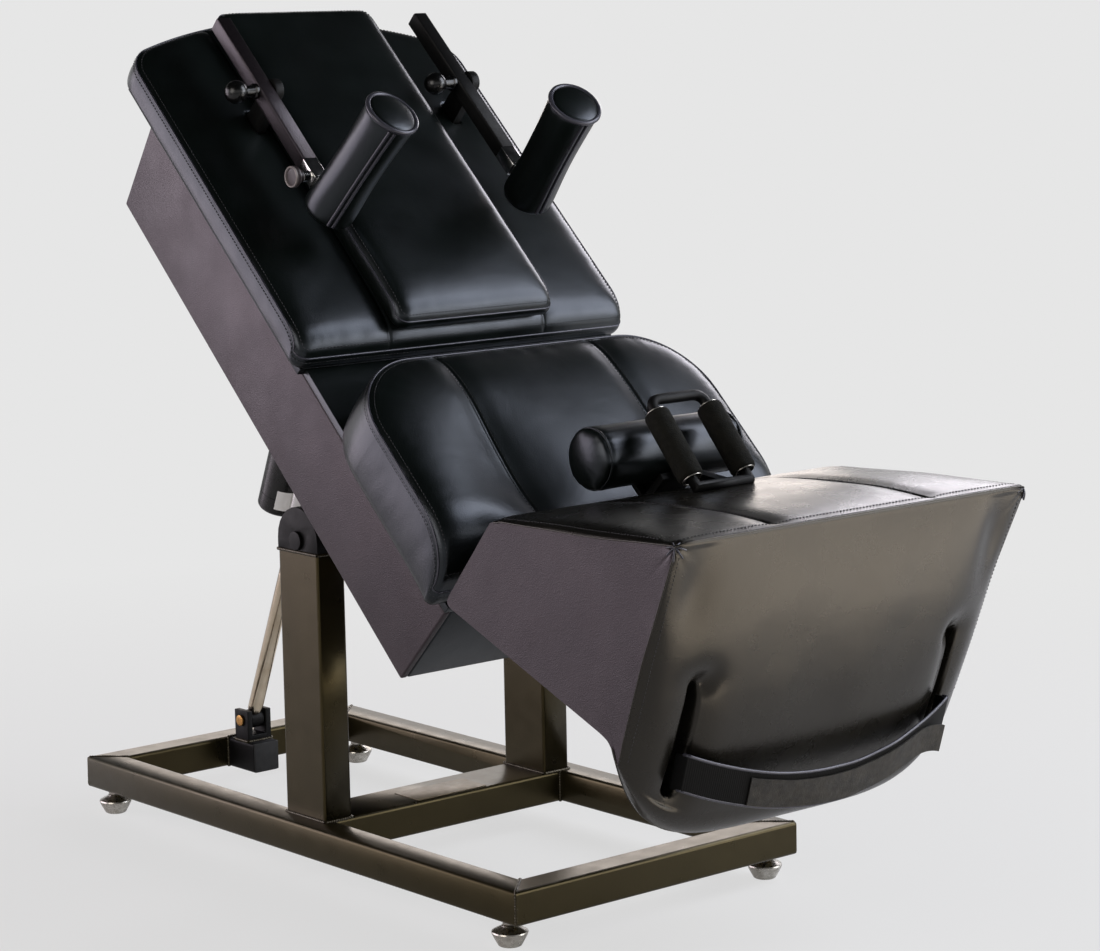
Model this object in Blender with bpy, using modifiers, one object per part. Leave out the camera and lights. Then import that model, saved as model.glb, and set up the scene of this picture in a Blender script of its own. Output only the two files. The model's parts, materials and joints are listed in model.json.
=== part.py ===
import math

import bmesh
import bpy

# Spinal decompression table: a floor frame carries a tilting table with back, seat and knee pads.
# Lengths are metres. +Z is up, the knee end faces -Y, and the table is symmetric about x = 0.
# The origin lies on the floor in the middle of the footprint.

GAP = 0.0003                 # air between two pieces that touch
RUNNING = 0.0005             # radial clearance of a turning or sliding fit
WELD = 0.00001               # merge distance of welded seams
ROUND = 24                   # sides of a turned piece
FINE_ROUND = 16              # sides of a small turned piece
ARC_STEPS = 4                # chords of a rounded corner

# Floor frame of square tube
TUBE = 0.0508
TUBE_WALL = 0.003
TUBE_EDGE = 0.005
BASE_LENGTH = 1.120
BASE_WIDTH = 0.550
CROSS_WIDTH = 0.1016
UPRIGHT_INSET = 0.032        # from the base's outer side to the upright's outer face
UPRIGHT_TOP = 0.502
PIVOT_HEIGHT = 0.520
PIVOT_FORWARD = 0.018        # pivot ahead of the middle of the base
SHAFT_RADIUS = 0.0125
SHAFT_HEAD_RADIUS = 0.0145
SHAFT_HEAD = 0.005

# Levelling feet
FOOT_HEIGHT = 0.040
FOOT_INSET = 0.045           # from the base's end to the foot's middle
FOOT_RADIUS = 0.025
FOOT_RIM = 0.008
FOOT_SHOULDER = 0.014
FOOT_NECK_RADIUS = 0.011
FOOT_NECK_TOP = 0.020
NUT_RADIUS = 0.0105
NUT_HEIGHT = 0.008
STEM_RADIUS = 0.005
STEM_REACH = 0.030           # stem inside the tube

# Table box, measured along the table (s, from the pivot towards the head) and square to it (n)
REST_TILT = math.radians(44.0)
BOX_WIDTH = 0.585
PANEL = 0.012
BOX_UNDER = 0.104
BOX_TOP = 0.258
BOX_FOOT_S = -0.335
BOX_HEAD_S = 0.609
BOX_HEAD_LEAN = 0.029        # how far the head end leans out at the top
BOARD = 0.012
BOARD_SPLIT_S = 0.114
FRAME_BAR = 0.040
FRAME_DEPTH = 0.036
FRAME_MARGIN = 0.030

# Pivot lugs under the box
LUG = 0.012
LUG_TO_UPRIGHT = 0.004
LUG_EYE_RADIUS = 0.034
LUG_ROOT = 0.150
LUG_FLANGE = 0.010
LUG_FLANGE_WIDTH = 0.060

# Linear actuator
STUB_LENGTH = 0.074
LOWER_PIN_BACK = 0.470       # lower pin behind the middle of the base
LOWER_PIN_RISE = 0.035       # lower pin above the stub
PIN_RADIUS = 0.006
PIN_HEAD_RADIUS = 0.0095
PIN_HEAD = 0.004
CLEVIS_WALL = 0.010
CLEVIS_DEPTH = 0.038
CLEVIS_CROWN = 0.017
EYE_RADIUS = 0.0165
EYE_WIDTH = 0.026
EYE_SIDE_GAP = 0.0008
UPPER_PIN_S = 0.3357
UPPER_PIN_N = 0.0487
OPEN_PIVOT_ROOM = 0.0185     # play left round the upper pin
BRACKET_WALL = 0.008
BRACKET_RIM = 0.009
BRACKET_SIDE_GAP = 0.008
BRACKET_PLATE = 0.009
BRACKET_LENGTH = 0.120
ROD_RADIUS = 0.0125
ROD_LENGTH = 0.360
SLEEVE_RADIUS = 0.020
SLEEVE_START = 0.335
GEARBOX_TO_PIN = 0.060
GEARBOX_HEIGHT = 0.056
GEARBOX_WIDTH = 0.074
GEARBOX_EDGE = 0.006
GEARBOX_ROOF = 0.010
MOTOR_OFFSET = 0.058
MOTOR_RADIUS = 0.036
MOTOR_LENGTH = 0.225
MOTOR_EDGE = 0.006

# Back pad and the raised centre pad on it
PAD_HALF = 0.315
BACK_FOOT_S = 0.115
BACK_SHOULDER_S = 0.722
BACK_ARCH = 0.070
BACK_CORNER = 0.036
BACK_BAND = 0.045
BACK_CROWN = 0.010
BOARD_INSET = 0.012
CENTRE_HALF = 0.149
CENTRE_FOOT_S = 0.125
CENTRE_HEAD_S = 0.770
CENTRE_BAND = 0.029
CENTRE_CROWN = 0.011
CENTRE_CORNER = 0.018

# Seat pad
SEAT_FOOT_S = -0.312
SEAT_HEAD_S = 0.034
SEAT_HALF = 0.325
SEAT_BAND = 0.0985
SEAT_CROWN = 0.022
SEAT_CORNER = 0.125
SEAT_SEAM_X = 0.1475
SEAM_DIP = 0.007
SEAM_SPREAD = 0.020
DRAWN_IN = 0.007             # how far the pads' sides are drawn in
BAND_RINGS = (               # height share of each ring down a pad's side, and its step inwards
    (0.70, 0.8 * DRAWN_IN),
    (0.35, 0.2 * DRAWN_IN),
    (0.00, -0.4 * DRAWN_IN),
)

# Knee pad, measured from the pivot: ahead of it and above it at the rest tilt
KNEE_HALF = 0.329
KNEE_REAR = 0.578
KNEE_FRONT = 0.951
KNEE_TOP = 0.112
KNEE_RISE = 0.010
KNEE_HEEL = (0.462, -0.023)          # rear lower corner
KNEE_KEEL = (0.772, -0.150)          # where the tongue's back meets the underside
SIDE_KEEL = 1.045                    # the keel at the sides, as a share of the way from heel to keel
TONGUE_FRONT = (0.822, -0.315)
TONGUE_BACK = (0.752, -0.328)
SIDE_FRONT = (0.815, -0.203)         # lower front corner of the side panel
SIDE_BACK = (0.806, -0.168)
KNEE_TAPER = 0.028
KNEE_TAPER_DEPTH = 0.320
TONGUE_POWER = 5
KNEE_ROUNDS = (0.012, 0.020, 0.050, 0.040, 0.020, 0.016)    # edge radii, from the rear top edge round
KNEE_RUNS = (5, 7, 2, 2, 3, 1)                              # points between one rounded edge and the next
KNEE_ROUND_STEPS = 3
KNEE_CROWN = 0.010
FRONT_BULGE = 0.016
KNEE_DIP = 0.006
KNEE_BOARD_HALF = 0.250
KNEE_BOARD_MARGIN = 0.040
KNEE_ARM = 0.012
KNEE_ARM_X = 0.160
KNEE_ARM_ROOT = 0.090
KNEE_ARM_TIP = 0.024

# Leg strap through two slots in the knee pad's front
SLOT_X = 0.245
SLOT_TOP = -0.080
SLOT_FOOT = -0.262
SLOT_WIDTH = 0.016
SLOT_DEPTH = 0.032
STRAP_WIDTH = 0.052
STRAP_THICK = 0.004
STRAP_MIDDLE = -0.206        # height of the strap's middle line at the slots
STRAP_SAG = 0.054
STRAP_OFF = 0.011            # how far the strap stands off the pad's front line at the slots
STRAP_STAND = 0.040          # and how much farther at its middle
STRAP_TUCK = 0.016

# Bolster, its bracket and the hand grips
BOLSTER_S = -0.2777
BOLSTER_N = 0.4987
BOLSTER_RADIUS = 0.045
BOLSTER_LENGTH = 0.280
BOLSTER_END = 0.016
POST_BAR = 0.012
POST_BAR_WIDTH = 0.060
SADDLE = 0.008
SADDLE_REACH = 0.072
NECK_TOP_N = 0.505
YOKE_RADIUS = 0.008
GRIP_RADIUS = 0.019
GRIP_LENGTH = 0.120
GRIP_X = 0.050
GRIP_FOOT_S = -0.3888
GRIP_FOOT_N = 0.5690
GRIP_HEAD_S = -0.2674
GRIP_HEAD_N = 0.5805
YOKE_END = 0.002
YOKE_BEND = 0.016
NECK_WIDTH = 0.020
NECK_DEPTH = 0.012

# Underarm posts on telescopic rails
RAIL = 0.0254
RAIL_WALL = 0.0025
RAIL_EDGE = 0.003
RAIL_X = 0.1915
RAIL_N = 0.396
RAIL_FOOT_S = 0.404
RAIL_HEAD_S = 0.705
RAIL_PIVOT_S = 0.558
RAIL_BRACKET = 0.015
RAIL_BRACKET_LENGTH = 0.042
RAIL_BRACKET_ROUND = 0.018
NOTCH_MARGIN = 0.0015
BOLT_RADIUS = 0.005
KNOB_RADIUS = 0.018
KNOB_STAND = 0.036           # middle of the ball knob from the rail's face
KNOB_SIDE = -1               # both ball knobs stand on the left of their rail
KNOB_STEM = 0.010
COLLAR_LENGTH = 0.038
COLLAR_BARREL_RADIUS = 0.0085
COLLAR_BARREL = 0.012
POP_PIN_RADIUS = 0.004
POP_PIN_DROP = 0.006         # pop-pin below the collar's middle
POP_KNOB_RADIUS = 0.0165
POP_KNOB_LENGTH = 0.020
POP_KNOB_RIM = 0.0135
POP_KNOB_DISH = 0.003
POST_TUBE = 0.0190
POST_TUBE_TOP_S = 0.535
POST_S = 0.320
POST_RADIUS = 0.040
POST_FOOT_N = 0.379
POST_HEAD_N = 0.588
POST_LEAN = math.radians(5.0)    # the posts lean towards each other
POST_WAIST = 0.003
POST_CROWN = 0.006

# Colour, roughness and metallic value of each finish
FINISHES = {
    "frame_paint": ((0.030, 0.027, 0.019), 0.36, 0.0),
    "vinyl": ((0.012, 0.013, 0.016), 0.38, 0.0),
    "panel_vinyl": ((0.070, 0.056, 0.062), 0.55, 0.0),
    "black_plastic": ((0.010, 0.010, 0.010), 0.45, 0.0),
    "foam": ((0.014, 0.013, 0.010), 0.90, 0.0),
    "chrome": ((0.75, 0.75, 0.76), 0.12, 1.0),
    "zinc": ((0.62, 0.62, 0.60), 0.28, 1.0),
    "brass": ((0.62, 0.45, 0.20), 0.30, 1.0),
    "plywood": ((0.42, 0.29, 0.17), 0.70, 0.0),
    "webbing": ((0.010, 0.010, 0.011), 0.85, 0.0),
}

SIDE_VIEW = (math.pi / 2, 0, math.pi / 2)    # outline (y, z) drawn flat, thickness along x
FRONT_VIEW = (math.pi / 2, 0, 0)             # outline (x, z) drawn flat, thickness along y
ALONG_X = (0, math.pi / 2, 0)

# Places that follow from the driving dimensions
TUBE_TOP = FOOT_HEIGHT + TUBE
UPRIGHT_X = BASE_WIDTH / 2 - UPRIGHT_INSET - TUBE / 2
UPRIGHT_OUTER = UPRIGHT_X + TUBE / 2
UPRIGHT_INNER = UPRIGHT_X - TUBE / 2
LUG_X = UPRIGHT_INNER - LUG_TO_UPRIGHT - LUG / 2
PANEL_X = BOX_WIDTH / 2 - PANEL / 2
INNER_HALF = BOX_WIDTH / 2 - PANEL - GAP
BOARD_N = BOX_TOP + GAP
PAD_N = BOARD_N + BOARD + GAP
BACK_SEAM_N = PAD_N + BACK_BAND
CENTRE_N = BACK_SEAM_N + BACK_CROWN + GAP
CENTRE_SEAM_N = CENTRE_N + CENTRE_BAND
SEAT_SEAM_N = PAD_N + SEAT_BAND
BRACKET_OFF = RAIL / 2 + GAP + RAIL_BRACKET / 2
POST_BAR_S = BOLSTER_S - BOLSTER_RADIUS - GAP - POST_BAR / 2
LOWER_PIN_Z = TUBE_TOP + LOWER_PIN_RISE
UPPER_PIN_Y = UPPER_PIN_S * math.cos(REST_TILT) - UPPER_PIN_N * math.sin(REST_TILT) - PIVOT_FORWARD
UPPER_PIN_Z = UPPER_PIN_S * math.sin(REST_TILT) + UPPER_PIN_N * math.cos(REST_TILT) + PIVOT_HEIGHT
PIN_TO_PIN = math.hypot(UPPER_PIN_Y - LOWER_PIN_BACK, UPPER_PIN_Z - LOWER_PIN_Z)
ROD_LEAN = math.atan2(LOWER_PIN_BACK - UPPER_PIN_Y, UPPER_PIN_Z - LOWER_PIN_Z)


def clear_scene():
    for item in list(bpy.data.objects):
        bpy.data.objects.remove(item, do_unlink=True)


def collection(name):
    group = bpy.data.collections.get(name) or bpy.data.collections.new(name)
    if name not in bpy.context.scene.collection.children:
        bpy.context.scene.collection.children.link(group)
    return group


def frame(name, location, parent=None, turn=0.0):
    empty = bpy.data.objects.new(name, None)
    parts.objects.link(empty)
    empty.parent = parent
    empty.location = location
    empty.rotation_euler = (turn, 0, 0)
    return empty


def finish_material(name, finish):
    colour, roughness, metallic = FINISHES[finish]
    material = bpy.data.materials.new(name + "_" + finish)
    material.use_nodes = True
    shader = material.node_tree.nodes["Principled BSDF"]
    shader.inputs["Base Color"].default_value = (*colour, 1)
    shader.inputs["Roughness"].default_value = roughness
    shader.inputs["Metallic"].default_value = metallic
    material.diffuse_color = (*colour, 1)
    return material


def add_part(name, mesh, finish, parent, location=(0, 0, 0), rotation=(0, 0, 0)):
    piece = bpy.data.objects.new(name, mesh)
    parts.objects.link(piece)
    piece.parent = parent
    piece.location = location
    piece.rotation_euler = rotation
    mesh.materials.append(finish_material(name, finish))
    return piece


def add_tool(name, mesh, parent, location=(0, 0, 0), rotation=(0, 0, 0)):
    tool = bpy.data.objects.new(name, mesh)
    cutters.objects.link(tool)
    tool.parent = parent
    tool.location = location
    tool.rotation_euler = rotation
    tool.hide_render = True
    tool.display_type = "WIRE"
    return tool


def combine(piece, tool, operation):
    change = piece.modifiers.new(operation.lower() + "_" + tool.name, "BOOLEAN")
    change.operation = operation
    change.solver = "EXACT"
    change.object = tool


def cut(piece, tool):
    combine(piece, tool, "DIFFERENCE")


def join(piece, tool):
    combine(piece, tool, "UNION")


def smooth(mesh, angle=math.radians(35)):
    mesh.shade_smooth()
    mesh.set_sharp_from_angle(angle=angle)
    return mesh


def box_mesh(name, size):
    mesh = bpy.data.meshes.new(name)
    shape = bmesh.new()
    bmesh.ops.create_cube(shape, size=1)
    bmesh.ops.scale(shape, vec=size, verts=shape.verts)
    shape.to_mesh(mesh)
    shape.free()
    return mesh


def rod_mesh(name, radius, length, sides=ROUND):
    mesh = bpy.data.meshes.new(name)
    shape = bmesh.new()
    bmesh.ops.create_cone(
        shape, cap_ends=True, segments=sides, radius1=radius, radius2=radius, depth=length
    )
    shape.to_mesh(mesh)
    shape.free()
    return smooth(mesh)


def bevel(piece, width, segments=2):
    edge = piece.modifiers.new("edges", "BEVEL")
    edge.width = width
    edge.segments = segments
    edge.limit_method = "ANGLE"


def turned(name, profile, finish, parent, location=(0, 0, 0), rotation=(0, 0, 0), sides=ROUND, ring=False):
    # profile runs down the outer side, from the top to the bottom, as (radius, height)
    mesh = bpy.data.meshes.new(name)
    edges = [(index, index + 1) for index in range(len(profile) - 1)]
    if ring:
        edges.append((len(profile) - 1, 0))
    mesh.from_pydata([(radius, 0, height) for radius, height in profile], edges, [])
    piece = add_part(name, mesh, finish, parent, location, rotation)
    spin = piece.modifiers.new("turning", "SCREW")
    spin.steps = sides
    spin.render_steps = sides
    spin.use_merge_vertices = True
    spin.merge_threshold = WELD
    return piece


def arc(centre, radius, start, end, steps=ARC_STEPS):
    points = []
    for index in range(steps + 1):
        angle = math.radians(start + (end - start) * index / steps)
        points.append((centre[0] + radius * math.cos(angle), centre[1] + radius * math.sin(angle)))
    return points


def circle(centre, radius, sides=ROUND):
    return arc(centre, radius, 0, 360, sides)[:-1]


def rectangle(width, height, centre=(0, 0), edge=0.0):
    half_w = width / 2 - edge
    half_h = height / 2 - edge
    if edge == 0:
        corners = [(half_w, half_h), (-half_w, half_h), (-half_w, -half_h), (half_w, -half_h)]
        return [(centre[0] + a, centre[1] + b) for a, b in corners]
    outline = []
    for a, b, start in ((1, 1, 0), (-1, 1, 90), (-1, -1, 180), (1, -1, 270)):
        corner = (centre[0] + a * half_w, centre[1] + b * half_h)
        outline += arc(corner, edge, start, start + 90, 3)
    return outline


def weld_mesh(mesh):
    shape = bmesh.new()
    shape.from_mesh(mesh)
    bmesh.ops.remove_doubles(shape, verts=shape.verts, dist=WELD)
    bmesh.ops.recalc_face_normals(shape, faces=shape.faces)
    shape.to_mesh(mesh)
    shape.free()
    return mesh


def curve_to_mesh(name, curve):
    carrier = bpy.data.objects.new(name + "_curve", curve)
    bpy.context.scene.collection.objects.link(carrier)
    graph = bpy.context.evaluated_depsgraph_get()
    mesh = bpy.data.meshes.new_from_object(carrier.evaluated_get(graph))
    bpy.data.objects.remove(carrier, do_unlink=True)
    mesh.name = name
    return weld_mesh(mesh)


def plate_mesh(name, loops, thickness):
    curve = bpy.data.curves.new(name, "CURVE")
    curve.dimensions = "2D"
    curve.fill_mode = "BOTH"
    curve.extrude = thickness / 2
    for loop in loops:
        spline = curve.splines.new("POLY")
        spline.points.add(len(loop) - 1)
        for point, (a, b) in zip(spline.points, loop):
            point.co = (a, b, 0, 1)
        spline.use_cyclic_u = True
    return smooth(curve_to_mesh(name, curve))


def pipe_mesh(name, points, radius):
    curve = bpy.data.curves.new(name, "CURVE")
    curve.dimensions = "3D"
    curve.bevel_depth = radius
    curve.bevel_resolution = 2
    curve.use_fill_caps = True
    spline = curve.splines.new("POLY")
    spline.points.add(len(points) - 1)
    for point, place in zip(spline.points, points):
        point.co = (*place, 1)
    return smooth(curve_to_mesh(name, curve))


def square_tube(width, height, wall, edge):
    return [rectangle(width, height, edge=edge), rectangle(width - 2 * wall, height - 2 * wall)]


def to_table(ahead, above):
    # a point ahead of and above the pivot at the rest tilt, as (s, n) on the table
    s = -ahead * math.cos(REST_TILT) + above * math.sin(REST_TILT)
    n = ahead * math.sin(REST_TILT) + above * math.cos(REST_TILT)
    return s, n


def build_base(root):
    base = frame("base_frame", (0, 0, 0), root)
    tube_z = FOOT_HEIGHT + TUBE / 2
    rail_x = (BASE_WIDTH - TUBE) / 2
    foot_y = BASE_LENGTH / 2 - FOOT_INSET
    cavity = TUBE - 2 * TUBE_WALL
    for side, sign in (("left", -1), ("right", 1)):
        rail = add_part(
            side + "_side_rail", box_mesh("side_rail", (TUBE, BASE_LENGTH, TUBE)), "frame_paint", base,
            (sign * rail_x, 0, tube_z),
        )
        bevel(rail, TUBE_EDGE)
        hollow = box_mesh("rail_hollow", (cavity, BASE_LENGTH - 2 * TUBE_WALL, cavity))
        cut(rail, add_tool(side + "_rail_hollow", hollow, base, rail.location))
        for end, way in (("front", -1), ("rear", 1)):
            hole = rod_mesh("stem_hole", STEM_RADIUS + RUNNING, TUBE, FINE_ROUND)
            place = (sign * rail_x, way * foot_y, FOOT_HEIGHT)
            cut(rail, add_tool(side + end + "_stem_hole", hole, base, place))
            build_foot(end + "_" + side + "_foot", base, (sign * rail_x, way * foot_y, 0))

    between = BASE_WIDTH - 2 * TUBE - 2 * GAP
    profile = square_tube(TUBE, TUBE, TUBE_WALL, TUBE_EDGE)
    for end, way in (("front", -1), ("rear", 1)):
        place = (0, way * (BASE_LENGTH - TUBE) / 2, tube_z)
        rail = plate_mesh("end_rail", profile, between)
        add_part(end + "_rail", rail, "frame_paint", base, place, SIDE_VIEW)
    profile = square_tube(CROSS_WIDTH, TUBE, TUBE_WALL, TUBE_EDGE)
    add_part(
        "cross_member", plate_mesh("cross_member", profile, between), "frame_paint", base,
        (0, -PIVOT_FORWARD, tube_z), SIDE_VIEW,
    )

    foot = TUBE_TOP + GAP
    height = UPRIGHT_TOP - foot
    profile = square_tube(TUBE, CROSS_WIDTH, TUBE_WALL, TUBE_EDGE)
    ear_half = CROSS_WIDTH / 2
    ear_foot = UPRIGHT_TOP + GAP - PIVOT_HEIGHT
    ear_outline = [(-ear_half, ear_foot), (ear_half, ear_foot)] + arc((0, 0), ear_half, 0, 180, ROUND // 2)
    ear_bore = circle((0, 0), SHAFT_RADIUS + RUNNING)
    for side, sign in (("left", -1), ("right", 1)):
        add_part(
            side + "_upright", plate_mesh("upright", profile, height), "frame_paint", base,
            (sign * UPRIGHT_X, -PIVOT_FORWARD, foot + height / 2),
        )
        add_part(
            side + "_pivot_ear", plate_mesh("pivot_ear", [ear_outline, ear_bore], TUBE), "frame_paint", base,
            (sign * UPRIGHT_X, -PIVOT_FORWARD, PIVOT_HEIGHT), SIDE_VIEW,
        )

    inside = UPRIGHT_OUTER + GAP
    head = inside + SHAFT_HEAD
    shaft = [(0, head), (SHAFT_HEAD_RADIUS, head), (SHAFT_HEAD_RADIUS, inside), (SHAFT_RADIUS, inside)]
    shaft += [(radius, -height) for radius, height in reversed(shaft)]
    turned(
        "pivot_shaft", shaft, "zinc", base, (0, -PIVOT_FORWARD, PIVOT_HEIGHT), ALONG_X,
    )
    return base


def build_foot(name, base, location):
    nut_top = FOOT_HEIGHT - GAP
    nut_foot = nut_top - NUT_HEIGHT
    stem_top = FOOT_HEIGHT + STEM_REACH
    profile = [
        (0, stem_top), (STEM_RADIUS, stem_top), (STEM_RADIUS, nut_top), (NUT_RADIUS, nut_top),
        (NUT_RADIUS, nut_foot), (STEM_RADIUS, nut_foot), (STEM_RADIUS, FOOT_NECK_TOP),
        (FOOT_NECK_RADIUS, FOOT_NECK_TOP), (FOOT_NECK_RADIUS, FOOT_SHOULDER), (FOOT_RADIUS, FOOT_RIM),
        (FOOT_RADIUS, 0), (0, 0),
    ]
    turned(name, profile, "zinc", base, location, sides=FINE_ROUND)


def build_actuator_mount(base):
    stub_y = BASE_LENGTH / 2 - TUBE - GAP - STUB_LENGTH / 2
    profile = square_tube(TUBE, TUBE, TUBE_WALL, TUBE_EDGE)
    add_part(
        "actuator_stub", plate_mesh("actuator_stub", profile, STUB_LENGTH), "frame_paint", base,
        (0, stub_y, FOOT_HEIGHT + TUBE / 2), FRONT_VIEW,
    )
    inner = EYE_WIDTH / 2 + EYE_SIDE_GAP
    outer = inner + CLEVIS_WALL
    foot = GAP - LOWER_PIN_RISE
    floor = foot + CLEVIS_WALL
    outline = [
        (-outer, foot), (outer, foot), (outer, CLEVIS_CROWN), (inner, CLEVIS_CROWN),
        (inner, floor), (-inner, floor), (-inner, CLEVIS_CROWN), (-outer, CLEVIS_CROWN),
    ]
    clevis = add_part(
        "lower_clevis", plate_mesh("lower_clevis", [outline], CLEVIS_DEPTH), "frame_paint", base,
        (0, LOWER_PIN_BACK, LOWER_PIN_Z), FRONT_VIEW,
    )
    hole = rod_mesh("clevis_hole", PIN_RADIUS + GAP, 4 * outer, FINE_ROUND)
    cut(clevis, add_tool("clevis_hole", hole, base, clevis.location, ALONG_X))
    headed_pin("lower_clevis_pin", outer, base, clevis.location)


def headed_pin(name, reach, parent, location):
    inside = reach + GAP
    head = inside + PIN_HEAD
    half = [(0, head), (PIN_HEAD_RADIUS, head), (PIN_HEAD_RADIUS, inside), (PIN_RADIUS, inside)]
    profile = half + [(radius, -height) for radius, height in reversed(half)]
    turned(name, profile, "brass", parent, location, ALONG_X, FINE_ROUND)


def build_actuator(root):
    axis = frame("actuator_axis", (0, LOWER_PIN_BACK, LOWER_PIN_Z), root, ROD_LEAN)
    eye_loops = [circle((0, 0), EYE_RADIUS), circle((0, 0), PIN_RADIUS + RUNNING, FINE_ROUND)]
    eye = plate_mesh("actuator_rod", eye_loops, EYE_WIDTH)
    rod = add_part("actuator_rod", eye, "chrome", axis, rotation=SIDE_VIEW)
    start = (PIN_RADIUS + EYE_RADIUS) / 2
    bar = rod_mesh("rod_bar", ROD_RADIUS, ROD_LENGTH - start)
    join(rod, add_tool("rod_bar", bar, axis, (0, 0, (ROD_LENGTH + start) / 2)))

    gear_top = PIN_TO_PIN - GEARBOX_TO_PIN
    gear_foot = gear_top - GEARBOX_HEIGHT
    bore = ROD_RADIUS + RUNNING
    sleeve_top = gear_foot - GAP
    sleeve = [
        (bore, sleeve_top), (SLEEVE_RADIUS, sleeve_top),
        (SLEEVE_RADIUS, SLEEVE_START), (bore, SLEEVE_START),
    ]
    turned("actuator_sleeve", sleeve, "chrome", axis, ring=True)
    back = MOTOR_OFFSET + MOTOR_RADIUS
    depth = back + SLEEVE_RADIUS
    middle = (back - SLEEVE_RADIUS) / 2
    gearbox = add_part(
        "actuator_gearbox", box_mesh("actuator_gearbox", (GEARBOX_WIDTH, depth, GEARBOX_HEIGHT)),
        "black_plastic", axis, (0, middle, (gear_top + gear_foot) / 2),
    )
    bevel(gearbox, GEARBOX_EDGE)
    upper_eye = plate_mesh("upper_eye", [rectangle(2 * EYE_RADIUS, GEARBOX_TO_PIN + GEARBOX_ROOF)], EYE_WIDTH)
    neck = (0, 0, PIN_TO_PIN - (GEARBOX_TO_PIN + GEARBOX_ROOF) / 2)
    join(gearbox, add_tool("upper_eye_neck", upper_eye, axis, neck, SIDE_VIEW))
    rounded = rod_mesh("upper_eye_round", EYE_RADIUS, EYE_WIDTH)
    join(gearbox, add_tool("upper_eye_round", rounded, axis, (0, 0, PIN_TO_PIN), ALONG_X))
    hole = rod_mesh("upper_eye_hole", PIN_RADIUS + GAP, 2 * EYE_WIDTH, FINE_ROUND)
    cut(gearbox, add_tool("upper_eye_hole", hole, axis, (0, 0, PIN_TO_PIN), ALONG_X))
    rod_room = gear_top - GEARBOX_ROOF - gear_foot
    room = rod_mesh("rod_room", bore, 2 * rod_room)
    cut(gearbox, add_tool("rod_room", room, axis, (0, 0, gear_foot)))

    motor_top = gear_foot - GAP
    motor_foot = motor_top - MOTOR_LENGTH
    turned(
        "actuator_motor",
        [
            (0, motor_top), (MOTOR_RADIUS, motor_top), (MOTOR_RADIUS, motor_foot + MOTOR_EDGE),
            (MOTOR_RADIUS - MOTOR_EDGE, motor_foot), (0, motor_foot),
        ],
        "black_plastic", axis, (0, MOTOR_OFFSET, 0),
    )
    reach = EYE_WIDTH / 2 + BRACKET_SIDE_GAP + BRACKET_WALL
    headed_pin("upper_clevis_pin", reach, axis, (0, 0, PIN_TO_PIN))


def build_box(table):
    head_top = BOX_HEAD_S + BOX_HEAD_LEAN
    lean = BOX_HEAD_LEAN / (BOX_TOP - BOX_UNDER)
    side = [(BOX_FOOT_S, BOX_UNDER), (BOX_HEAD_S, BOX_UNDER), (head_top, BOX_TOP), (BOX_FOOT_S, BOX_TOP)]
    for name, sign in (("left_side_panel", -1), ("right_side_panel", 1)):
        panel = plate_mesh("side_panel", [side], PANEL)
        add_part(name, panel, "panel_vinyl", table, (sign * PANEL_X, 0, 0), SIDE_VIEW)
    width = 2 * INNER_HALF
    foot_end = [
        (BOX_FOOT_S, BOX_UNDER), (BOX_FOOT_S + PANEL, BOX_UNDER),
        (BOX_FOOT_S + PANEL, BOX_TOP), (BOX_FOOT_S, BOX_TOP),
    ]
    foot_panel = plate_mesh("foot_end_panel", [foot_end], width)
    add_part("foot_end_panel", foot_panel, "vinyl", table, rotation=SIDE_VIEW)
    head_end = [
        (BOX_HEAD_S - PANEL, BOX_UNDER), (BOX_HEAD_S, BOX_UNDER),
        (head_top, BOX_TOP), (head_top - PANEL, BOX_TOP),
    ]
    head_panel = plate_mesh("head_end_panel", [head_end], width)
    add_part("head_end_panel", head_panel, "panel_vinyl", table, rotation=SIDE_VIEW)
    inner_foot = BOX_FOOT_S + PANEL + GAP
    inner_head = BOX_HEAD_S - PANEL - GAP
    under_top = BOX_UNDER + PANEL
    under = [
        (inner_foot, BOX_UNDER), (inner_head, BOX_UNDER),
        (inner_head + PANEL * lean, under_top), (inner_foot, under_top),
    ]
    under_panel = plate_mesh("underside_panel", [under], width)
    add_part("underside_panel", under_panel, "panel_vinyl", table, rotation=SIDE_VIEW)

    length = inner_head - inner_foot - 2 * FRAME_MARGIN
    span = width - 2 * FRAME_MARGIN
    bay = (length - 4 * FRAME_BAR) / 3
    middle = (inner_head + inner_foot) / 2
    loops = [rectangle(span, length, (0, middle))]
    for step in (-1, 0, 1):
        loops.append(rectangle(span - 2 * FRAME_BAR, bay, (0, middle + step * (bay + FRAME_BAR))))
    frame_n = under_top + GAP + FRAME_DEPTH / 2
    add_part("table_frame", plate_mesh("table_frame", loops, FRAME_DEPTH), "plywood", table, (0, 0, frame_n))

    seat_board = rectangle(BOX_WIDTH, BOARD_SPLIT_S - BOX_FOOT_S, (0, (BOARD_SPLIT_S + BOX_FOOT_S) / 2))
    board_n = BOARD_N + BOARD / 2
    add_part("seat_board", plate_mesh("seat_board", [seat_board], BOARD), "plywood", table, (0, 0, board_n))
    half = PAD_HALF - BOARD_INSET
    outline = [(half, BOARD_SPLIT_S + GAP)]
    for index in range(ROUND + 1):
        x = half * math.cos(math.pi * index / ROUND)
        outline.append((x, back_head(x) - BOARD_INSET))
    outline.append((-half, BOARD_SPLIT_S + GAP))
    add_part("back_board", plate_mesh("back_board", [outline], BOARD), "plywood", table, (0, 0, board_n))


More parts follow.
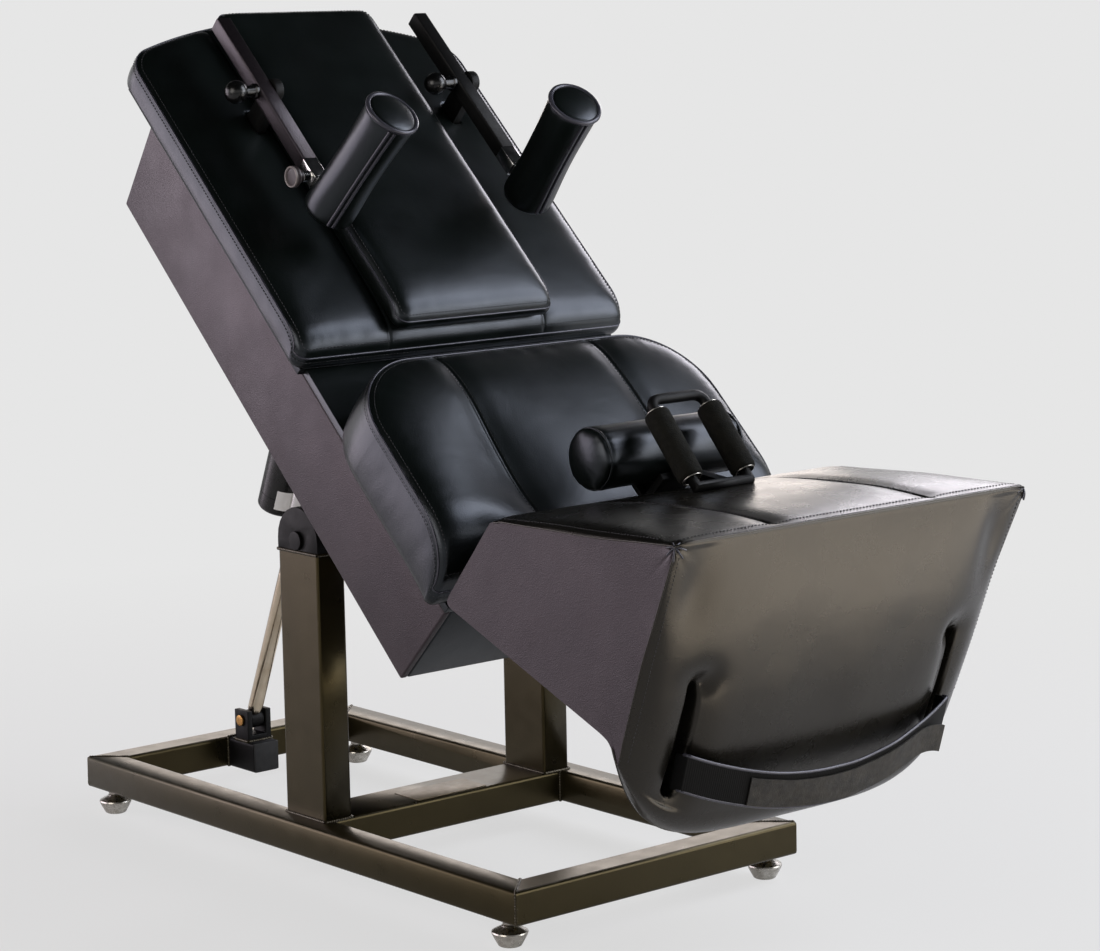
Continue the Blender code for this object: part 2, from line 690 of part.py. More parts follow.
def build_pivot_lugs(table):
    flange_n = BOX_UNDER - GAP - LUG_FLANGE / 2
    flange_foot = flange_n - LUG_FLANGE / 2
    outline = arc((0, 0), LUG_EYE_RADIUS, 180, 360, ROUND // 2)
    outline += [(LUG_ROOT / 2, flange_foot), (LUG_ROOT / 2, flange_n), (-LUG_ROOT / 2, flange_n)]
    outline.append((-LUG_ROOT / 2, flange_foot))
    bore = circle((0, 0), SHAFT_RADIUS + RUNNING)
    for side, sign in (("left", -1), ("right", 1)):
        lug = add_part(
            side + "_pivot_lug", plate_mesh("pivot_lug", [outline, bore], LUG), "frame_paint", table,
            (sign * LUG_X, 0, 0), SIDE_VIEW,
        )
        flange = box_mesh("lug_flange", (LUG_FLANGE_WIDTH, LUG_ROOT + LUG, LUG_FLANGE))
        join(lug, add_tool(side + "_lug_flange", flange, table, (sign * LUG_X, 0, flange_n)))


def build_actuator_bracket(table):
    inner = EYE_WIDTH / 2 + BRACKET_SIDE_GAP
    outer = inner + BRACKET_WALL
    hole_radius = PIN_RADIUS + OPEN_PIVOT_ROOM
    rim = hole_radius + BRACKET_RIM
    top = BOX_UNDER - GAP - UPPER_PIN_N
    root = top - BRACKET_PLATE / 2
    bracket = add_part(
        "actuator_bracket", box_mesh("actuator_bracket", (2 * outer, BRACKET_LENGTH, BRACKET_PLATE)),
        "frame_paint", table, (0, UPPER_PIN_S, BOX_UNDER - GAP - BRACKET_PLATE / 2),
    )
    cheek = arc((0, 0), rim, 180, 360, ROUND // 2) + [(rim, root), (-rim, root)]
    for side, sign in (("left", -1), ("right", 1)):
        mesh = plate_mesh("bracket_cheek", [cheek, circle((0, 0), hole_radius)], BRACKET_WALL)
        place = (sign * (inner + BRACKET_WALL / 2), UPPER_PIN_S, UPPER_PIN_N)
        join(bracket, add_tool(side + "_bracket_cheek", mesh, table, place, SIDE_VIEW))


def corner_drop(x, half, radius):
    # how far a rounded corner falls below the straight edge at x
    run = abs(x) - (half - radius)
    if run <= 0:
        return 0.0
    return radius - math.sqrt(max(radius * radius - run * run, 0.0))


def back_head(x):
    arch = BACK_ARCH * (1 - (x / PAD_HALF) ** 2)
    return BACK_SHOULDER_S + arch - corner_drop(x, PAD_HALF, BACK_CORNER)


def fall_off(value, power):
    return 1 - abs(value) ** power


def pad_mesh(name, half, columns, rows, foot, head, seam_n, base_n, crown, dips=()):
    # a boxed cushion: crowned top with sewn dips, a band that is drawn in between the corners, flat base
    shape = bmesh.new()
    bmesh.ops.create_grid(shape, x_segments=len(columns) - 1, y_segments=len(rows) - 1, size=1)
    for vert in shape.verts:
        u = columns[round((vert.co.x + 1) / 2 * (len(columns) - 1))]
        v = rows[round((vert.co.y + 1) / 2 * (len(rows) - 1))]
        x = u * half
        s = foot(x) + (head(x) - foot(x)) * (v + 1) / 2
        swell = fall_off(u, 6) * fall_off(v, 6)
        n = seam_n + crown * swell
        for dip in dips:
            n -= SEAM_DIP * swell * math.exp(-(((x - dip) / SEAM_SPREAD) ** 2) * 2)
        vert.co = (x, s, n)
    middle = (foot(0) + head(0)) / 2
    reach = (head(0) - foot(0)) / 2
    band = seam_n - base_n
    edges = [edge for edge in shape.edges if edge.is_boundary]
    for level, draw_in in BAND_RINGS:
        grown = bmesh.ops.extrude_edge_only(shape, edges=edges)["geom"]
        verts = [item for item in grown if isinstance(item, bmesh.types.BMVert)]
        edges = [item for item in grown if isinstance(item, bmesh.types.BMEdge) and item.is_boundary]
        for vert in verts:
            across = min(abs(vert.co.x) / half, 1)
            along = min(abs(vert.co.y - middle) / reach, 1)
            draw = draw_in * fall_off(across * along, 8)
            vert.co.x -= math.copysign(draw * across, vert.co.x)
            vert.co.y -= math.copysign(draw * along, vert.co.y - middle)
            vert.co.z = base_n + band * level
    bmesh.ops.contextual_create(shape, geom=edges)
    bmesh.ops.recalc_face_normals(shape, faces=shape.faces)
    mesh = bpy.data.meshes.new(name)
    shape.to_mesh(mesh)
    shape.free()
    return smooth(mesh, math.radians(50))


def mirrored(values):
    return [-value for value in reversed(values)] + [0.0] + list(values)


def build_pads(table):
    edge_columns = [0.22, 0.45, 0.66, 0.80, 0.89, 0.94, 0.975, 0.993, 1.0]
    edge_rows = [0.28, 0.55, 0.78, 0.92, 0.98, 1.0]
    columns = mirrored(edge_columns)
    rows = mirrored(edge_rows)

    def back_foot(x):
        return BACK_FOOT_S + corner_drop(x, PAD_HALF, BACK_CORNER / 2)

    back = add_part(
        "main_back_pad",
        pad_mesh(
            "main_back_pad", PAD_HALF, columns, rows, back_foot, back_head, BACK_SEAM_N, PAD_N, BACK_CROWN
        ),
        "vinyl", table,
    )
    notch_size = (RAIL_BRACKET + 2 * NOTCH_MARGIN, RAIL_BRACKET_LENGTH + 2 * NOTCH_MARGIN, 4 * BACK_BAND)
    for side, sign in (("left", -1), ("right", 1)):
        notch = box_mesh("notch", notch_size)
        place = (sign * RAIL_X - KNOB_SIDE * BRACKET_OFF, RAIL_PIVOT_S, BACK_SEAM_N)
        cut(back, add_tool(side + "_pad_notch", notch, table, place))

    def centre_foot(x):
        return CENTRE_FOOT_S + corner_drop(x, CENTRE_HALF, CENTRE_CORNER)

    def centre_head(x):
        return CENTRE_HEAD_S - corner_drop(x, CENTRE_HALF, CENTRE_CORNER)

    narrow = mirrored([0.35, 0.70, 0.88, 0.96, 1.0])
    add_part(
        "centre_back_pad",
        pad_mesh(
            "centre_back_pad", CENTRE_HALF, narrow, rows, centre_foot, centre_head,
            CENTRE_SEAM_N, CENTRE_N, CENTRE_CROWN,
        ),
        "vinyl", table,
    )

    def seat_foot(x):
        return SEAT_FOOT_S + corner_drop(x, SEAT_HALF, BACK_CORNER / 2)

    def seat_head(x):
        return SEAT_HEAD_S - corner_drop(x, SEAT_HALF, SEAT_CORNER)

    seam = SEAT_SEAM_X / SEAT_HALF
    spread = SEAM_SPREAD / SEAT_HALF
    seat_columns = mirrored([0.20, seam - spread, seam, seam + spread, 0.72, 0.85, 0.93, 0.98, 1.0])
    add_part(
        "seat_pad",
        pad_mesh(
            "seat_pad", SEAT_HALF, seat_columns, rows, seat_foot, seat_head,
            SEAT_SEAM_N, PAD_N, SEAT_CROWN, (-SEAT_SEAM_X, SEAT_SEAM_X),
        ),
        "vinyl", table,
    )


def blend_points(a, b, weight):
    return (a[0] + (b[0] - a[0]) * weight, a[1] + (b[1] - a[1]) * weight)


def fillet(before, corner, after, radius, steps):
    ax, ay = before[0] - corner[0], before[1] - corner[1]
    bx, by = after[0] - corner[0], after[1] - corner[1]
    la = math.hypot(ax, ay)
    lb = math.hypot(bx, by)
    reach = min(radius, 0.45 * la, 0.45 * lb)
    start = (corner[0] + ax / la * reach, corner[1] + ay / la * reach)
    end = (corner[0] + bx / lb * reach, corner[1] + by / lb * reach)
    points = []
    for index in range(steps + 1):
        t = index / steps
        first = blend_points(start, corner, t)
        points.append(blend_points(first, blend_points(corner, end, t), t))
    return points


def knee_loop(a):
    # one closed section of the knee pad at the share a of its half width, as (y, z) from the pivot
    weight = abs(a) ** TONGUE_POWER
    front = (-KNEE_FRONT, KNEE_TOP + KNEE_RISE)
    heel = (-KNEE_HEEL[0], KNEE_HEEL[1])
    keel = (-KNEE_KEEL[0], KNEE_KEEL[1])
    corners = [
        (-KNEE_REAR, KNEE_TOP),
        front,
        blend_points((-TONGUE_FRONT[0], TONGUE_FRONT[1]), (-SIDE_FRONT[0], SIDE_FRONT[1]), weight),
        blend_points((-TONGUE_BACK[0], TONGUE_BACK[1]), (-SIDE_BACK[0], SIDE_BACK[1]), weight),
        blend_points(keel, blend_points(heel, keel, SIDE_KEEL), weight),
        heel,
    ]
    count = len(corners)
    bends = []
    for index, corner in enumerate(corners):
        after = corners[(index + 1) % count]
        bends.append(fillet(corners[index - 1], corner, after, KNEE_ROUNDS[index], KNEE_ROUND_STEPS))
    loop = []
    for index, bend in enumerate(bends):
        landing = bends[(index + 1) % count][0]
        loop += [(place, None, 0.0) for place in bend]
        for step in range(1, KNEE_RUNS[index] + 1):
            share = step / (KNEE_RUNS[index] + 1)
            loop.append((blend_points(bend[-1], landing, share), index, share))
    placed = []
    for (y, z), run, t in loop:
        arch = 4 * t * (1 - t) if run is not None else 0.0
        if run == 0:
            dip = math.exp(-(((abs(a) * KNEE_HALF - SEAT_SEAM_X) / SEAM_SPREAD) ** 2) * 2)
            z += arch * (KNEE_CROWN * fall_off(a, 6) - KNEE_DIP * dip)
        if run == 1:
            y -= arch * FRONT_BULGE * fall_off(a, 4)
        depth = min(max((front[1] - z) / KNEE_TAPER_DEPTH, 0), 1.2)
        placed.append((a * KNEE_HALF * (1 - KNEE_TAPER * depth), y, z))
    return placed


def knee_mesh(name):
    seam = SEAT_SEAM_X / KNEE_HALF
    spread = SEAM_SPREAD / KNEE_HALF
    columns = mirrored([0.20, seam - spread, seam, seam + spread, 0.66, 0.79, 0.88, 0.945, 0.985, 1.0])
    shape = bmesh.new()
    rings = [[shape.verts.new(place) for place in knee_loop(a)] for a in columns]
    count = len(rings[0])
    for ring, following in zip(rings, rings[1:]):
        for index in range(count):
            after = (index + 1) % count
            shape.faces.new((ring[index], ring[after], following[after], following[index]))
    for ring, inward in ((rings[0], DRAWN_IN), (rings[-1], -DRAWN_IN)):
        middle = [sum(vert.co[axis] for vert in ring) / count for axis in range(3)]
        hub = shape.verts.new((middle[0] + inward, middle[1], middle[2]))
        for index in range(count):
            shape.faces.new((ring[index], ring[(index + 1) % count], hub))
    bmesh.ops.recalc_face_normals(shape, faces=shape.faces)
    mesh = bpy.data.meshes.new(name)
    shape.to_mesh(mesh)
    shape.free()
    return smooth(mesh, math.radians(40))


def front_face(z):
    # the knee pad's flat front line at the height z, before its bulge
    top = (-KNEE_FRONT, KNEE_TOP + KNEE_RISE)
    share = (top[1] - z) / (top[1] - TONGUE_FRONT[1])
    return top[0] + (-TONGUE_FRONT[0] - top[0]) * share


def front_lean():
    # how far the knee pad's front line leans from upright
    return math.atan2(KNEE_FRONT - TONGUE_FRONT[0], KNEE_TOP + KNEE_RISE - TONGUE_FRONT[1])


def strap_mesh(name):
    # a sagging band from slot to slot, whose first and last stretch turn straight into the slots
    pieces = 26
    shape = bmesh.new()
    bmesh.ops.create_grid(shape, x_segments=pieces, y_segments=2, size=1)
    lean = front_lean()
    for vert in shape.verts:
        index = round((vert.co.x + 1) / 2 * pieces)
        share = min(max((index - 1) / (pieces - 2) * 2 - 1, -1), 1)
        slack = 1 - share ** 2
        stand = STRAP_STAND * slack + STRAP_OFF
        if index in (0, pieces):
            stand = -STRAP_TUCK
        z = STRAP_MIDDLE - STRAP_SAG * slack + vert.co.y * STRAP_WIDTH / 2 * math.cos(lean)
        vert.co = (share * SLOT_X, front_face(z) - stand, z)
    bmesh.ops.recalc_face_normals(shape, faces=shape.faces)
    mesh = bpy.data.meshes.new(name)
    shape.to_mesh(mesh)
    shape.free()
    return smooth(mesh)


def build_knee(table):
    knee = frame("knee_frame", (0, 0, 0), table, -REST_TILT)
    pad = add_part("knee_pad", knee_mesh("knee_pad"), "vinyl", knee)
    lean = front_lean()
    slot_middle = (SLOT_TOP + SLOT_FOOT) / 2
    slot_length = (SLOT_TOP - SLOT_FOOT) / math.cos(lean)
    slot_x = SLOT_X - STRAP_THICK / 2 - GAP + SLOT_WIDTH / 2
    for side, sign in (("left", -1), ("right", 1)):
        slot = box_mesh("strap_slot", (SLOT_WIDTH, 2 * SLOT_DEPTH, slot_length))
        place = (sign * slot_x, front_face(slot_middle), slot_middle)
        cut(pad, add_tool(side + "_strap_slot", slot, knee, place, (lean, 0, 0)))
    strap = add_part("leg_strap", strap_mesh("leg_strap"), "webbing", knee)
    thick = strap.modifiers.new("thickness", "SOLIDIFY")
    thick.thickness = STRAP_THICK
    thick.offset = 0

    heel = (-KNEE_HEEL[0], KNEE_HEEL[1])
    keel = (-KNEE_KEEL[0], KNEE_KEEL[1])
    length = math.dist(heel, keel)
    along = ((keel[0] - heel[0]) / length, (keel[1] - heel[1]) / length)
    down = (-along[1], along[0])

    def under(run, drop):
        return (heel[0] + along[0] * run + down[0] * drop, heel[1] + along[1] * run + down[1] * drop)

    first = KNEE_BOARD_MARGIN
    last = length - KNEE_BOARD_MARGIN
    board = [under(first, GAP), under(last, GAP), under(last, GAP + BOARD), under(first, GAP + BOARD)]
    board_mesh = plate_mesh("knee_board", [board], 2 * KNEE_BOARD_HALF)
    add_part("knee_board", board_mesh, "plywood", knee, rotation=SIDE_VIEW)
    tip = under(last, 2 * GAP + BOARD)
    tip_top = to_table(-tip[0], tip[1])
    root = under(first, 2 * GAP + BOARD)
    root_top = to_table(-root[0], root[1])
    wall = BOX_FOOT_S - GAP
    slope = (tip_top[1] - root_top[1]) / (tip_top[0] - root_top[0])
    wall_top = root_top[1] + (wall - root_top[0]) * slope
    arm = [
        (wall, wall_top), (wall, wall_top - KNEE_ARM_ROOT), (tip_top[0], tip_top[1] - KNEE_ARM_TIP), tip_top
    ]
    for side, sign in (("left", -1), ("right", 1)):
        add_part(
            side + "_knee_arm", plate_mesh("knee_arm", [arm], KNEE_ARM), "frame_paint", table,
            (sign * KNEE_ARM_X, 0, 0), SIDE_VIEW,
        )


def build_bolster(table):
    half = BOLSTER_LENGTH / 2
    shoulder = half - BOLSTER_END
    profile = [(0, half)]
    for share in (0.35, 0.62, 0.82, 0.94):
        profile.append((BOLSTER_RADIUS * share, shoulder + BOLSTER_END * math.sqrt(1 - share ** 2)))
    profile.append((BOLSTER_RADIUS, shoulder - BOLSTER_END / 2))
    profile += [(radius, -height) for radius, height in reversed(profile)]
    turned("bolster", profile, "vinyl", table, (0, BOLSTER_S, BOLSTER_N), ALONG_X)

    saddle_top = BOLSTER_N - BOLSTER_RADIUS - GAP
    saddle_foot = saddle_top - SADDLE
    rear = POST_BAR_S - POST_BAR / 2
    front = POST_BAR_S + POST_BAR / 2
    outline = [
        (rear, PAD_N), (front, PAD_N), (front, saddle_foot), (rear + SADDLE_REACH, saddle_foot),
        (rear + SADDLE_REACH, saddle_top), (front, saddle_top), (front, NECK_TOP_N), (rear, NECK_TOP_N),
    ]
    add_part(
        "bolster_bracket", plate_mesh("bolster_bracket", [outline], POST_BAR_WIDTH), "frame_paint", table,
        rotation=SIDE_VIEW,
    )


def build_grips(table):
    lean = math.atan2(GRIP_HEAD_N - GRIP_FOOT_N, GRIP_HEAD_S - GRIP_FOOT_S)
    grips = frame("grip_frame", (0, GRIP_FOOT_S, GRIP_FOOT_N), table, lean)
    far = GRIP_LENGTH + YOKE_END
    bar_y = -YOKE_END - YOKE_RADIUS
    path = [(-GRIP_X, bar_y, 0), (-GRIP_X, far, 0)]
    path += [(x, y, 0) for x, y in arc((YOKE_BEND - GRIP_X, far), YOKE_BEND, 180, 90)[1:]]
    path += [(x, y, 0) for x, y in arc((GRIP_X - YOKE_BEND, far), YOKE_BEND, 90, 0)]
    path.append((GRIP_X, bar_y, 0))
    yoke = add_part("grip_yoke", pipe_mesh("grip_yoke", path, YOKE_RADIUS), "frame_paint", grips)
    bar = rod_mesh("yoke_bar", YOKE_RADIUS - RUNNING, 2 * GRIP_X + YOKE_RADIUS, FINE_ROUND)
    join(yoke, add_tool("yoke_bar", bar, grips, (0, bar_y, 0), ALONG_X))

    cos = math.cos(lean)
    sin = math.sin(lean)
    bar_place = (GRIP_FOOT_S + bar_y * cos, GRIP_FOOT_N + bar_y * sin)
    root = (POST_BAR_S, NECK_TOP_N + GAP)
    neck = [
        (root[0] + POST_BAR / 2, root[1]), (root[0] + POST_BAR / 2, root[1] + NECK_DEPTH),
        (bar_place[0] + NECK_DEPTH / 2, bar_place[1] + NECK_DEPTH / 3),
        (bar_place[0], bar_place[1] - NECK_DEPTH / 3),
        (root[0] - POST_BAR / 2, root[1]),
    ]
    join(yoke, add_tool("yoke_neck", plate_mesh("yoke_neck", [neck], NECK_WIDTH), table, rotation=SIDE_VIEW))
    bore = YOKE_RADIUS + GAP
    for side, sign in (("left", -1), ("right", 1)):
        foam = [(bore, GRIP_LENGTH), (GRIP_RADIUS, GRIP_LENGTH), (GRIP_RADIUS, 0), (bore, 0)]
        turned(
            side + "_hand_grip", foam, "foam", grips, (sign * GRIP_X, GAP, 0), (-math.pi / 2, 0, 0), ring=True
        )


def build_arm(table, side, sign):
    bolt_hole = BOLT_RADIUS + RUNNING
    rise = RAIL_N - PAD_N
    half = RAIL_BRACKET_LENGTH / 2
    outline = [(-half, -rise), (half, -rise)] + arc((0, 0), RAIL_BRACKET_ROUND, 20, 160, ROUND // 3)
    axis = frame(side + "_rail_axis", (sign * RAIL_X, RAIL_PIVOT_S, RAIL_N), table)
    bolt_bore = circle((0, 0), bolt_hole, FINE_ROUND)
    add_part(
        side + "_rail_bracket", plate_mesh("rail_bracket", [outline, bolt_bore], RAIL_BRACKET),
        "frame_paint", table, (sign * RAIL_X - KNOB_SIDE * BRACKET_OFF, RAIL_PIVOT_S, RAIL_N), SIDE_VIEW,
    )

    length = RAIL_HEAD_S - RAIL_FOOT_S
    profile = square_tube(RAIL, RAIL, RAIL_WALL, RAIL_EDGE)
    rail_middle = (RAIL_HEAD_S + RAIL_FOOT_S) / 2 - RAIL_PIVOT_S
    rail = add_part(
        side + "_arm_rail", plate_mesh("arm_rail", profile, length), "frame_paint", axis,
        (0, rail_middle, 0), FRONT_VIEW,
    )
    hole = rod_mesh("bolt_hole", bolt_hole, 2 * RAIL, FINE_ROUND)
    cut(rail, add_tool(side + "_rail_bolt_hole", hole, axis, rotation=ALONG_X))

    ball = RAIL / 2 + KNOB_STAND
    seat = RAIL / 2 + GAP
    tip = -RAIL / 2 - GAP - RAIL_BRACKET
    neck = -math.degrees(math.acos(KNOB_STEM / KNOB_RADIUS))
    knob = [(0, ball + KNOB_RADIUS)] + arc((0, ball), KNOB_RADIUS, 90, neck)[1:]
    knob += [(KNOB_STEM, seat), (BOLT_RADIUS, seat), (BOLT_RADIUS, tip), (0, tip)]
    turn = (0, KNOB_SIDE * math.pi / 2, 0)
    turned(side + "_rail_knob", knob, "black_plastic", axis, (0, 0, 0), turn, FINE_ROUND)

    collar_top = RAIL_FOOT_S - GAP - RAIL_PIVOT_S
    collar_middle = collar_top - COLLAR_LENGTH / 2
    profile = square_tube(RAIL, RAIL, RAIL_WALL, RAIL_EDGE)
    collar = add_part(
        side + "_rail_collar", plate_mesh("rail_collar", profile, COLLAR_LENGTH), "chrome", axis,
        (0, collar_middle, 0), FRONT_VIEW,
    )
    barrel_end = RAIL / 2 + COLLAR_BARREL
    barrel_start = RAIL / 2 - RAIL_WALL / 2
    barrel = rod_mesh("collar_barrel", COLLAR_BARREL_RADIUS, barrel_end - barrel_start, FINE_ROUND)
    pin_place = collar_middle - POP_PIN_DROP
    barrel_place = (sign * (barrel_end + barrel_start) / 2, pin_place, 0)
    join(collar, add_tool(side + "_collar_barrel", barrel, axis, barrel_place, ALONG_X))
    pin_hole = rod_mesh("pop_pin_hole", POP_PIN_RADIUS + RUNNING, RAIL, FINE_ROUND)
    hole_place = (sign * (RAIL - RAIL_WALL - RUNNING), pin_place, 0)
    cut(collar, add_tool(side + "_pop_pin_hole", pin_hole, axis, hole_place, ALONG_X))

    knob_foot = barrel_end + GAP
    knob_face = knob_foot + POP_KNOB_LENGTH
    tip = RAIL / 2 - RAIL_WALL + GAP
    dish = knob_face - POP_KNOB_DISH
    pop = [
        (0, dish), (POP_KNOB_RIM - POP_KNOB_DISH / 2, dish), (POP_KNOB_RIM, knob_face),
        (POP_KNOB_RADIUS, dish), (POP_KNOB_RADIUS, (knob_face + knob_foot) / 2),
        (COLLAR_BARREL_RADIUS, knob_foot), (POP_PIN_RADIUS, knob_foot), (POP_PIN_RADIUS, tip), (0, tip),
    ]
    outward = (0, sign * math.pi / 2, 0)
    turned(side + "_pop_pin", pop, "black_plastic", axis, (0, pin_place, 0), outward, FINE_ROUND)

    tube_foot = POST_S - RAIL_PIVOT_S
    tube_top = POST_TUBE_TOP_S - RAIL_PIVOT_S
    inner_tube = square_tube(POST_TUBE, POST_TUBE, RAIL_WALL, RAIL_EDGE / 2)
    add_part(
        side + "_post_tube", plate_mesh("post_tube", inner_tube, tube_top - tube_foot), "chrome", axis,
        (0, (tube_top + tube_foot) / 2, 0), FRONT_VIEW,
    )
    foot = POST_FOOT_N - RAIL_N
    head = POST_HEAD_N - RAIL_N
    waist = (foot + head) / 2
    sleeve = [
        (0, head), (POST_RADIUS * 0.5, head - POST_CROWN * 0.25), (POST_RADIUS * 0.9, head - POST_CROWN),
        (POST_RADIUS, head - 2 * POST_CROWN), (POST_RADIUS - POST_WAIST, waist),
        (POST_RADIUS, foot + POST_CROWN),
        (POST_RADIUS * 0.93, foot), (0, foot),
    ]
    post = turned(side + "_arm_post", sleeve, "vinyl", axis, (0, tube_foot, 0), (0, -sign * POST_LEAN, 0))
    room = POST_TUBE + 2 * GAP
    pocket = box_mesh("post_pocket", (room, 2 * POST_RADIUS, room))
    cut(post, add_tool(side + "_post_pocket", pocket, axis, (0, tube_foot + POST_RADIUS - GAP, 0)))


def centre_on_footprint(root):
    bpy.context.view_layer.update()
    graph = bpy.context.evaluated_depsgraph_get()
    reach = []
    for piece in parts.objects:
        if piece.type == "MESH":
            shape = piece.evaluated_get(graph)
            reach += [(piece.matrix_world @ vert.co).y for vert in shape.data.vertices]
    root.location.y = -(min(reach) + max(reach)) / 2


clear_scene()
parts = collection("spinal_decompression_table")
cutters = collection("cutters")
root = frame("footprint", (0, 0, 0))
base = build_base(root)
build_actuator_mount(base)
build_actuator(root)
table = frame("table_axis", (0, -PIVOT_FORWARD, PIVOT_HEIGHT), root, REST_TILT)
build_box(table)
build_pivot_lugs(table)
build_actuator_bracket(table)
build_pads(table)
build_knee(table)
build_bolster(table)
build_grips(table)
for arm_side, arm_sign in (("left", -1), ("right", 1)):
    build_arm(table, arm_side, arm_sign)
centre_on_footprint(root)
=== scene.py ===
import json
import math

import bpy
import numpy as np
from mathutils import Matrix, Vector, noise

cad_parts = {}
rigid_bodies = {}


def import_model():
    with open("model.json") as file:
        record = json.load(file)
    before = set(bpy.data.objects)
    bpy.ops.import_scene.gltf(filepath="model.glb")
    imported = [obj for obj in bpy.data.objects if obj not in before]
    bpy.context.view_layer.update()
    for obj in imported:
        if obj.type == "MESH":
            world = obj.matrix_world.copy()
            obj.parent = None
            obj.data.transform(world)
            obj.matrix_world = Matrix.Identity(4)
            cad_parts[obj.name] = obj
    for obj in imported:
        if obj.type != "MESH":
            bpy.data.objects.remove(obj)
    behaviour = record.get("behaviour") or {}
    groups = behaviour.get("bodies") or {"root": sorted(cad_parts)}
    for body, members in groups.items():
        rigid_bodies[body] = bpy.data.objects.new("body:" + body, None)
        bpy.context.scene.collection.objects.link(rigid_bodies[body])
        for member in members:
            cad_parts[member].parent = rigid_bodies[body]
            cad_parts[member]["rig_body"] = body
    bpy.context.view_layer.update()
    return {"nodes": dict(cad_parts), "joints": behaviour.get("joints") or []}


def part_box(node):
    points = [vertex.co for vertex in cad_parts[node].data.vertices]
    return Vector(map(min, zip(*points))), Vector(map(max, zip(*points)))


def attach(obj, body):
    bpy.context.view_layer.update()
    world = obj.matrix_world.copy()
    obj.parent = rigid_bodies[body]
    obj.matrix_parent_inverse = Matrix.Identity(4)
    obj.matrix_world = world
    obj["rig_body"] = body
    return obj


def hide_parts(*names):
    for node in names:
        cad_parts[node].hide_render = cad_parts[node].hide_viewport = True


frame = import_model()
nodes = frame["nodes"]
joints = {joint["name"]: joint for joint in frame["joints"]}
print("frame loaded:", len(nodes), "nodes")

bothSides = (("left", -1), ("right", 1))
fullTurn = 2 * math.pi
table = {"pivot": Vector(joints["table_tilt"]["pos_m"]), "tilt": math.radians(44), "padFoot": 0.2706}
alongTable = Vector((0, math.cos(table["tilt"]), math.sin(table["tilt"])))
outOfTable = Vector((0, -math.sin(table["tilt"]), math.cos(table["tilt"])))


def onTable(x, s, n):
    return table["pivot"] + Vector((x, 0, 0)) + alongTable * s + outOfTable * n


def onTableAll(x, s, n):
    y = table["pivot"].y + s * alongTable.y + n * outOfTable.y
    z = table["pivot"].z + s * alongTable.z + n * outOfTable.z
    return np.stack(np.broadcast_arrays(x, y, z), axis=-1)


def only(piece):
    if bpy.context.object and bpy.context.object.mode != "OBJECT":
        bpy.ops.object.mode_set(mode="OBJECT")
    bpy.ops.object.select_all(action="DESELECT")
    piece.select_set(True)
    bpy.context.view_layer.objects.active = piece


def editAll(piece):
    only(piece)
    bpy.ops.object.mode_set(mode="EDIT")
    bpy.ops.mesh.select_all(action="SELECT")


def newPiece(name, points, edges, faces):
    mesh = bpy.data.meshes.new(name)
    mesh.from_pydata([tuple(p) for p in points], edges, faces)
    piece = bpy.data.objects.new(name, mesh)
    bpy.context.scene.collection.objects.link(piece)
    return piece


def applyAll(piece):
    only(piece)
    for modifier in list(piece.modifiers):
        bpy.ops.object.modifier_apply(modifier=modifier.name)


def closeUp(piece, merge=1e-5):
    editAll(piece)
    bpy.ops.mesh.remove_doubles(threshold=merge)
    bpy.ops.mesh.normals_make_consistent(inside=False)
    bpy.ops.object.mode_set(mode="OBJECT")


def smoothOff(piece, degrees):
    only(piece)
    bpy.ops.object.shade_smooth_by_angle(angle=math.radians(degrees))


def eased(piece, edge, segments, smooth):
    editAll(piece)
    bpy.ops.mesh.bevel(offset=edge, segments=segments, affect="EDGES")
    bpy.ops.object.mode_set(mode="OBJECT")
    smoothOff(piece, smooth)


def finish(piece, kind, body):
    slot, material = finishes[kind]
    piece.data.materials.clear()
    piece.data.materials.append(material)
    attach(piece, body)
    return piece


def completed(piece, kind, body, smooth, merge=1e-6):
    closeUp(piece, merge)
    smoothOff(piece, smooth)
    return finish(piece, kind, body)


def ownCopy(source, name):
    # a copy with its own mesh and without its source's tags
    piece = source.copy()
    piece.data = source.data.copy()
    piece.name = piece.data.name = name
    for key in list(piece.keys()):
        del piece[key]
    piece.parent = None
    bpy.context.scene.collection.objects.link(piece)
    return piece


def again(source, name, shift, kind, body):
    # what repeats is modelled once, then copied and moved
    piece = ownCopy(source, name)
    piece.data.transform(Matrix.Translation(shift))
    return finish(piece, kind, body)


def wave(a, b, seed):
    return noise.noise(Vector((a, b, seed)))


def nearest(values, wanted):
    return int(np.argmin(np.abs(values - wanted)))


def runAlong(line):
    return np.concatenate([[0], np.cumsum(np.linalg.norm(np.diff(line, axis=0), axis=1))])


def placesAt(at, run, line):
    return np.stack([np.interp(at, run, line[:, k]) for k in range(line.shape[1])], axis=-1)


def gridFaces(rows, columns):
    starts = [r * columns + c for r in range(rows - 1) for c in range(columns - 1)]
    return [(a, a + 1, a + 1 + columns, a + columns) for a in starts]


def ringFaces(first, second, flip=False):
    # quads between two rings of point numbers
    quads = zip(first, [*first[1:], first[0]], [*second[1:], second[0]], second)
    return [(a, d, c, b) if flip else (a, b, c, d) for a, b, c, d in quads]


def raised(profile, base, way=1):
    # (radius, height) points counted up or, with way -1, down from a base
    return [(radius, base + way * height) for radius, height in profile]


def lathe(name, profile, base, axis, kind, body, steps=48, smooth=40):
    # a line of (radius, height) points spun round the axis
    axis = Vector(axis).normalized()
    side = axis.orthogonal().normalized()
    points = [Vector(base) + side * radius + axis * height for radius, height in profile]
    piece = newPiece(name, points, [(i, i + 1) for i in range(len(points) - 1)], [])
    editAll(piece)
    bpy.ops.mesh.spin(steps=steps, angle=fullTurn, center=tuple(base), axis=tuple(axis))
    return completed(piece, kind, body, smooth, 1e-5)


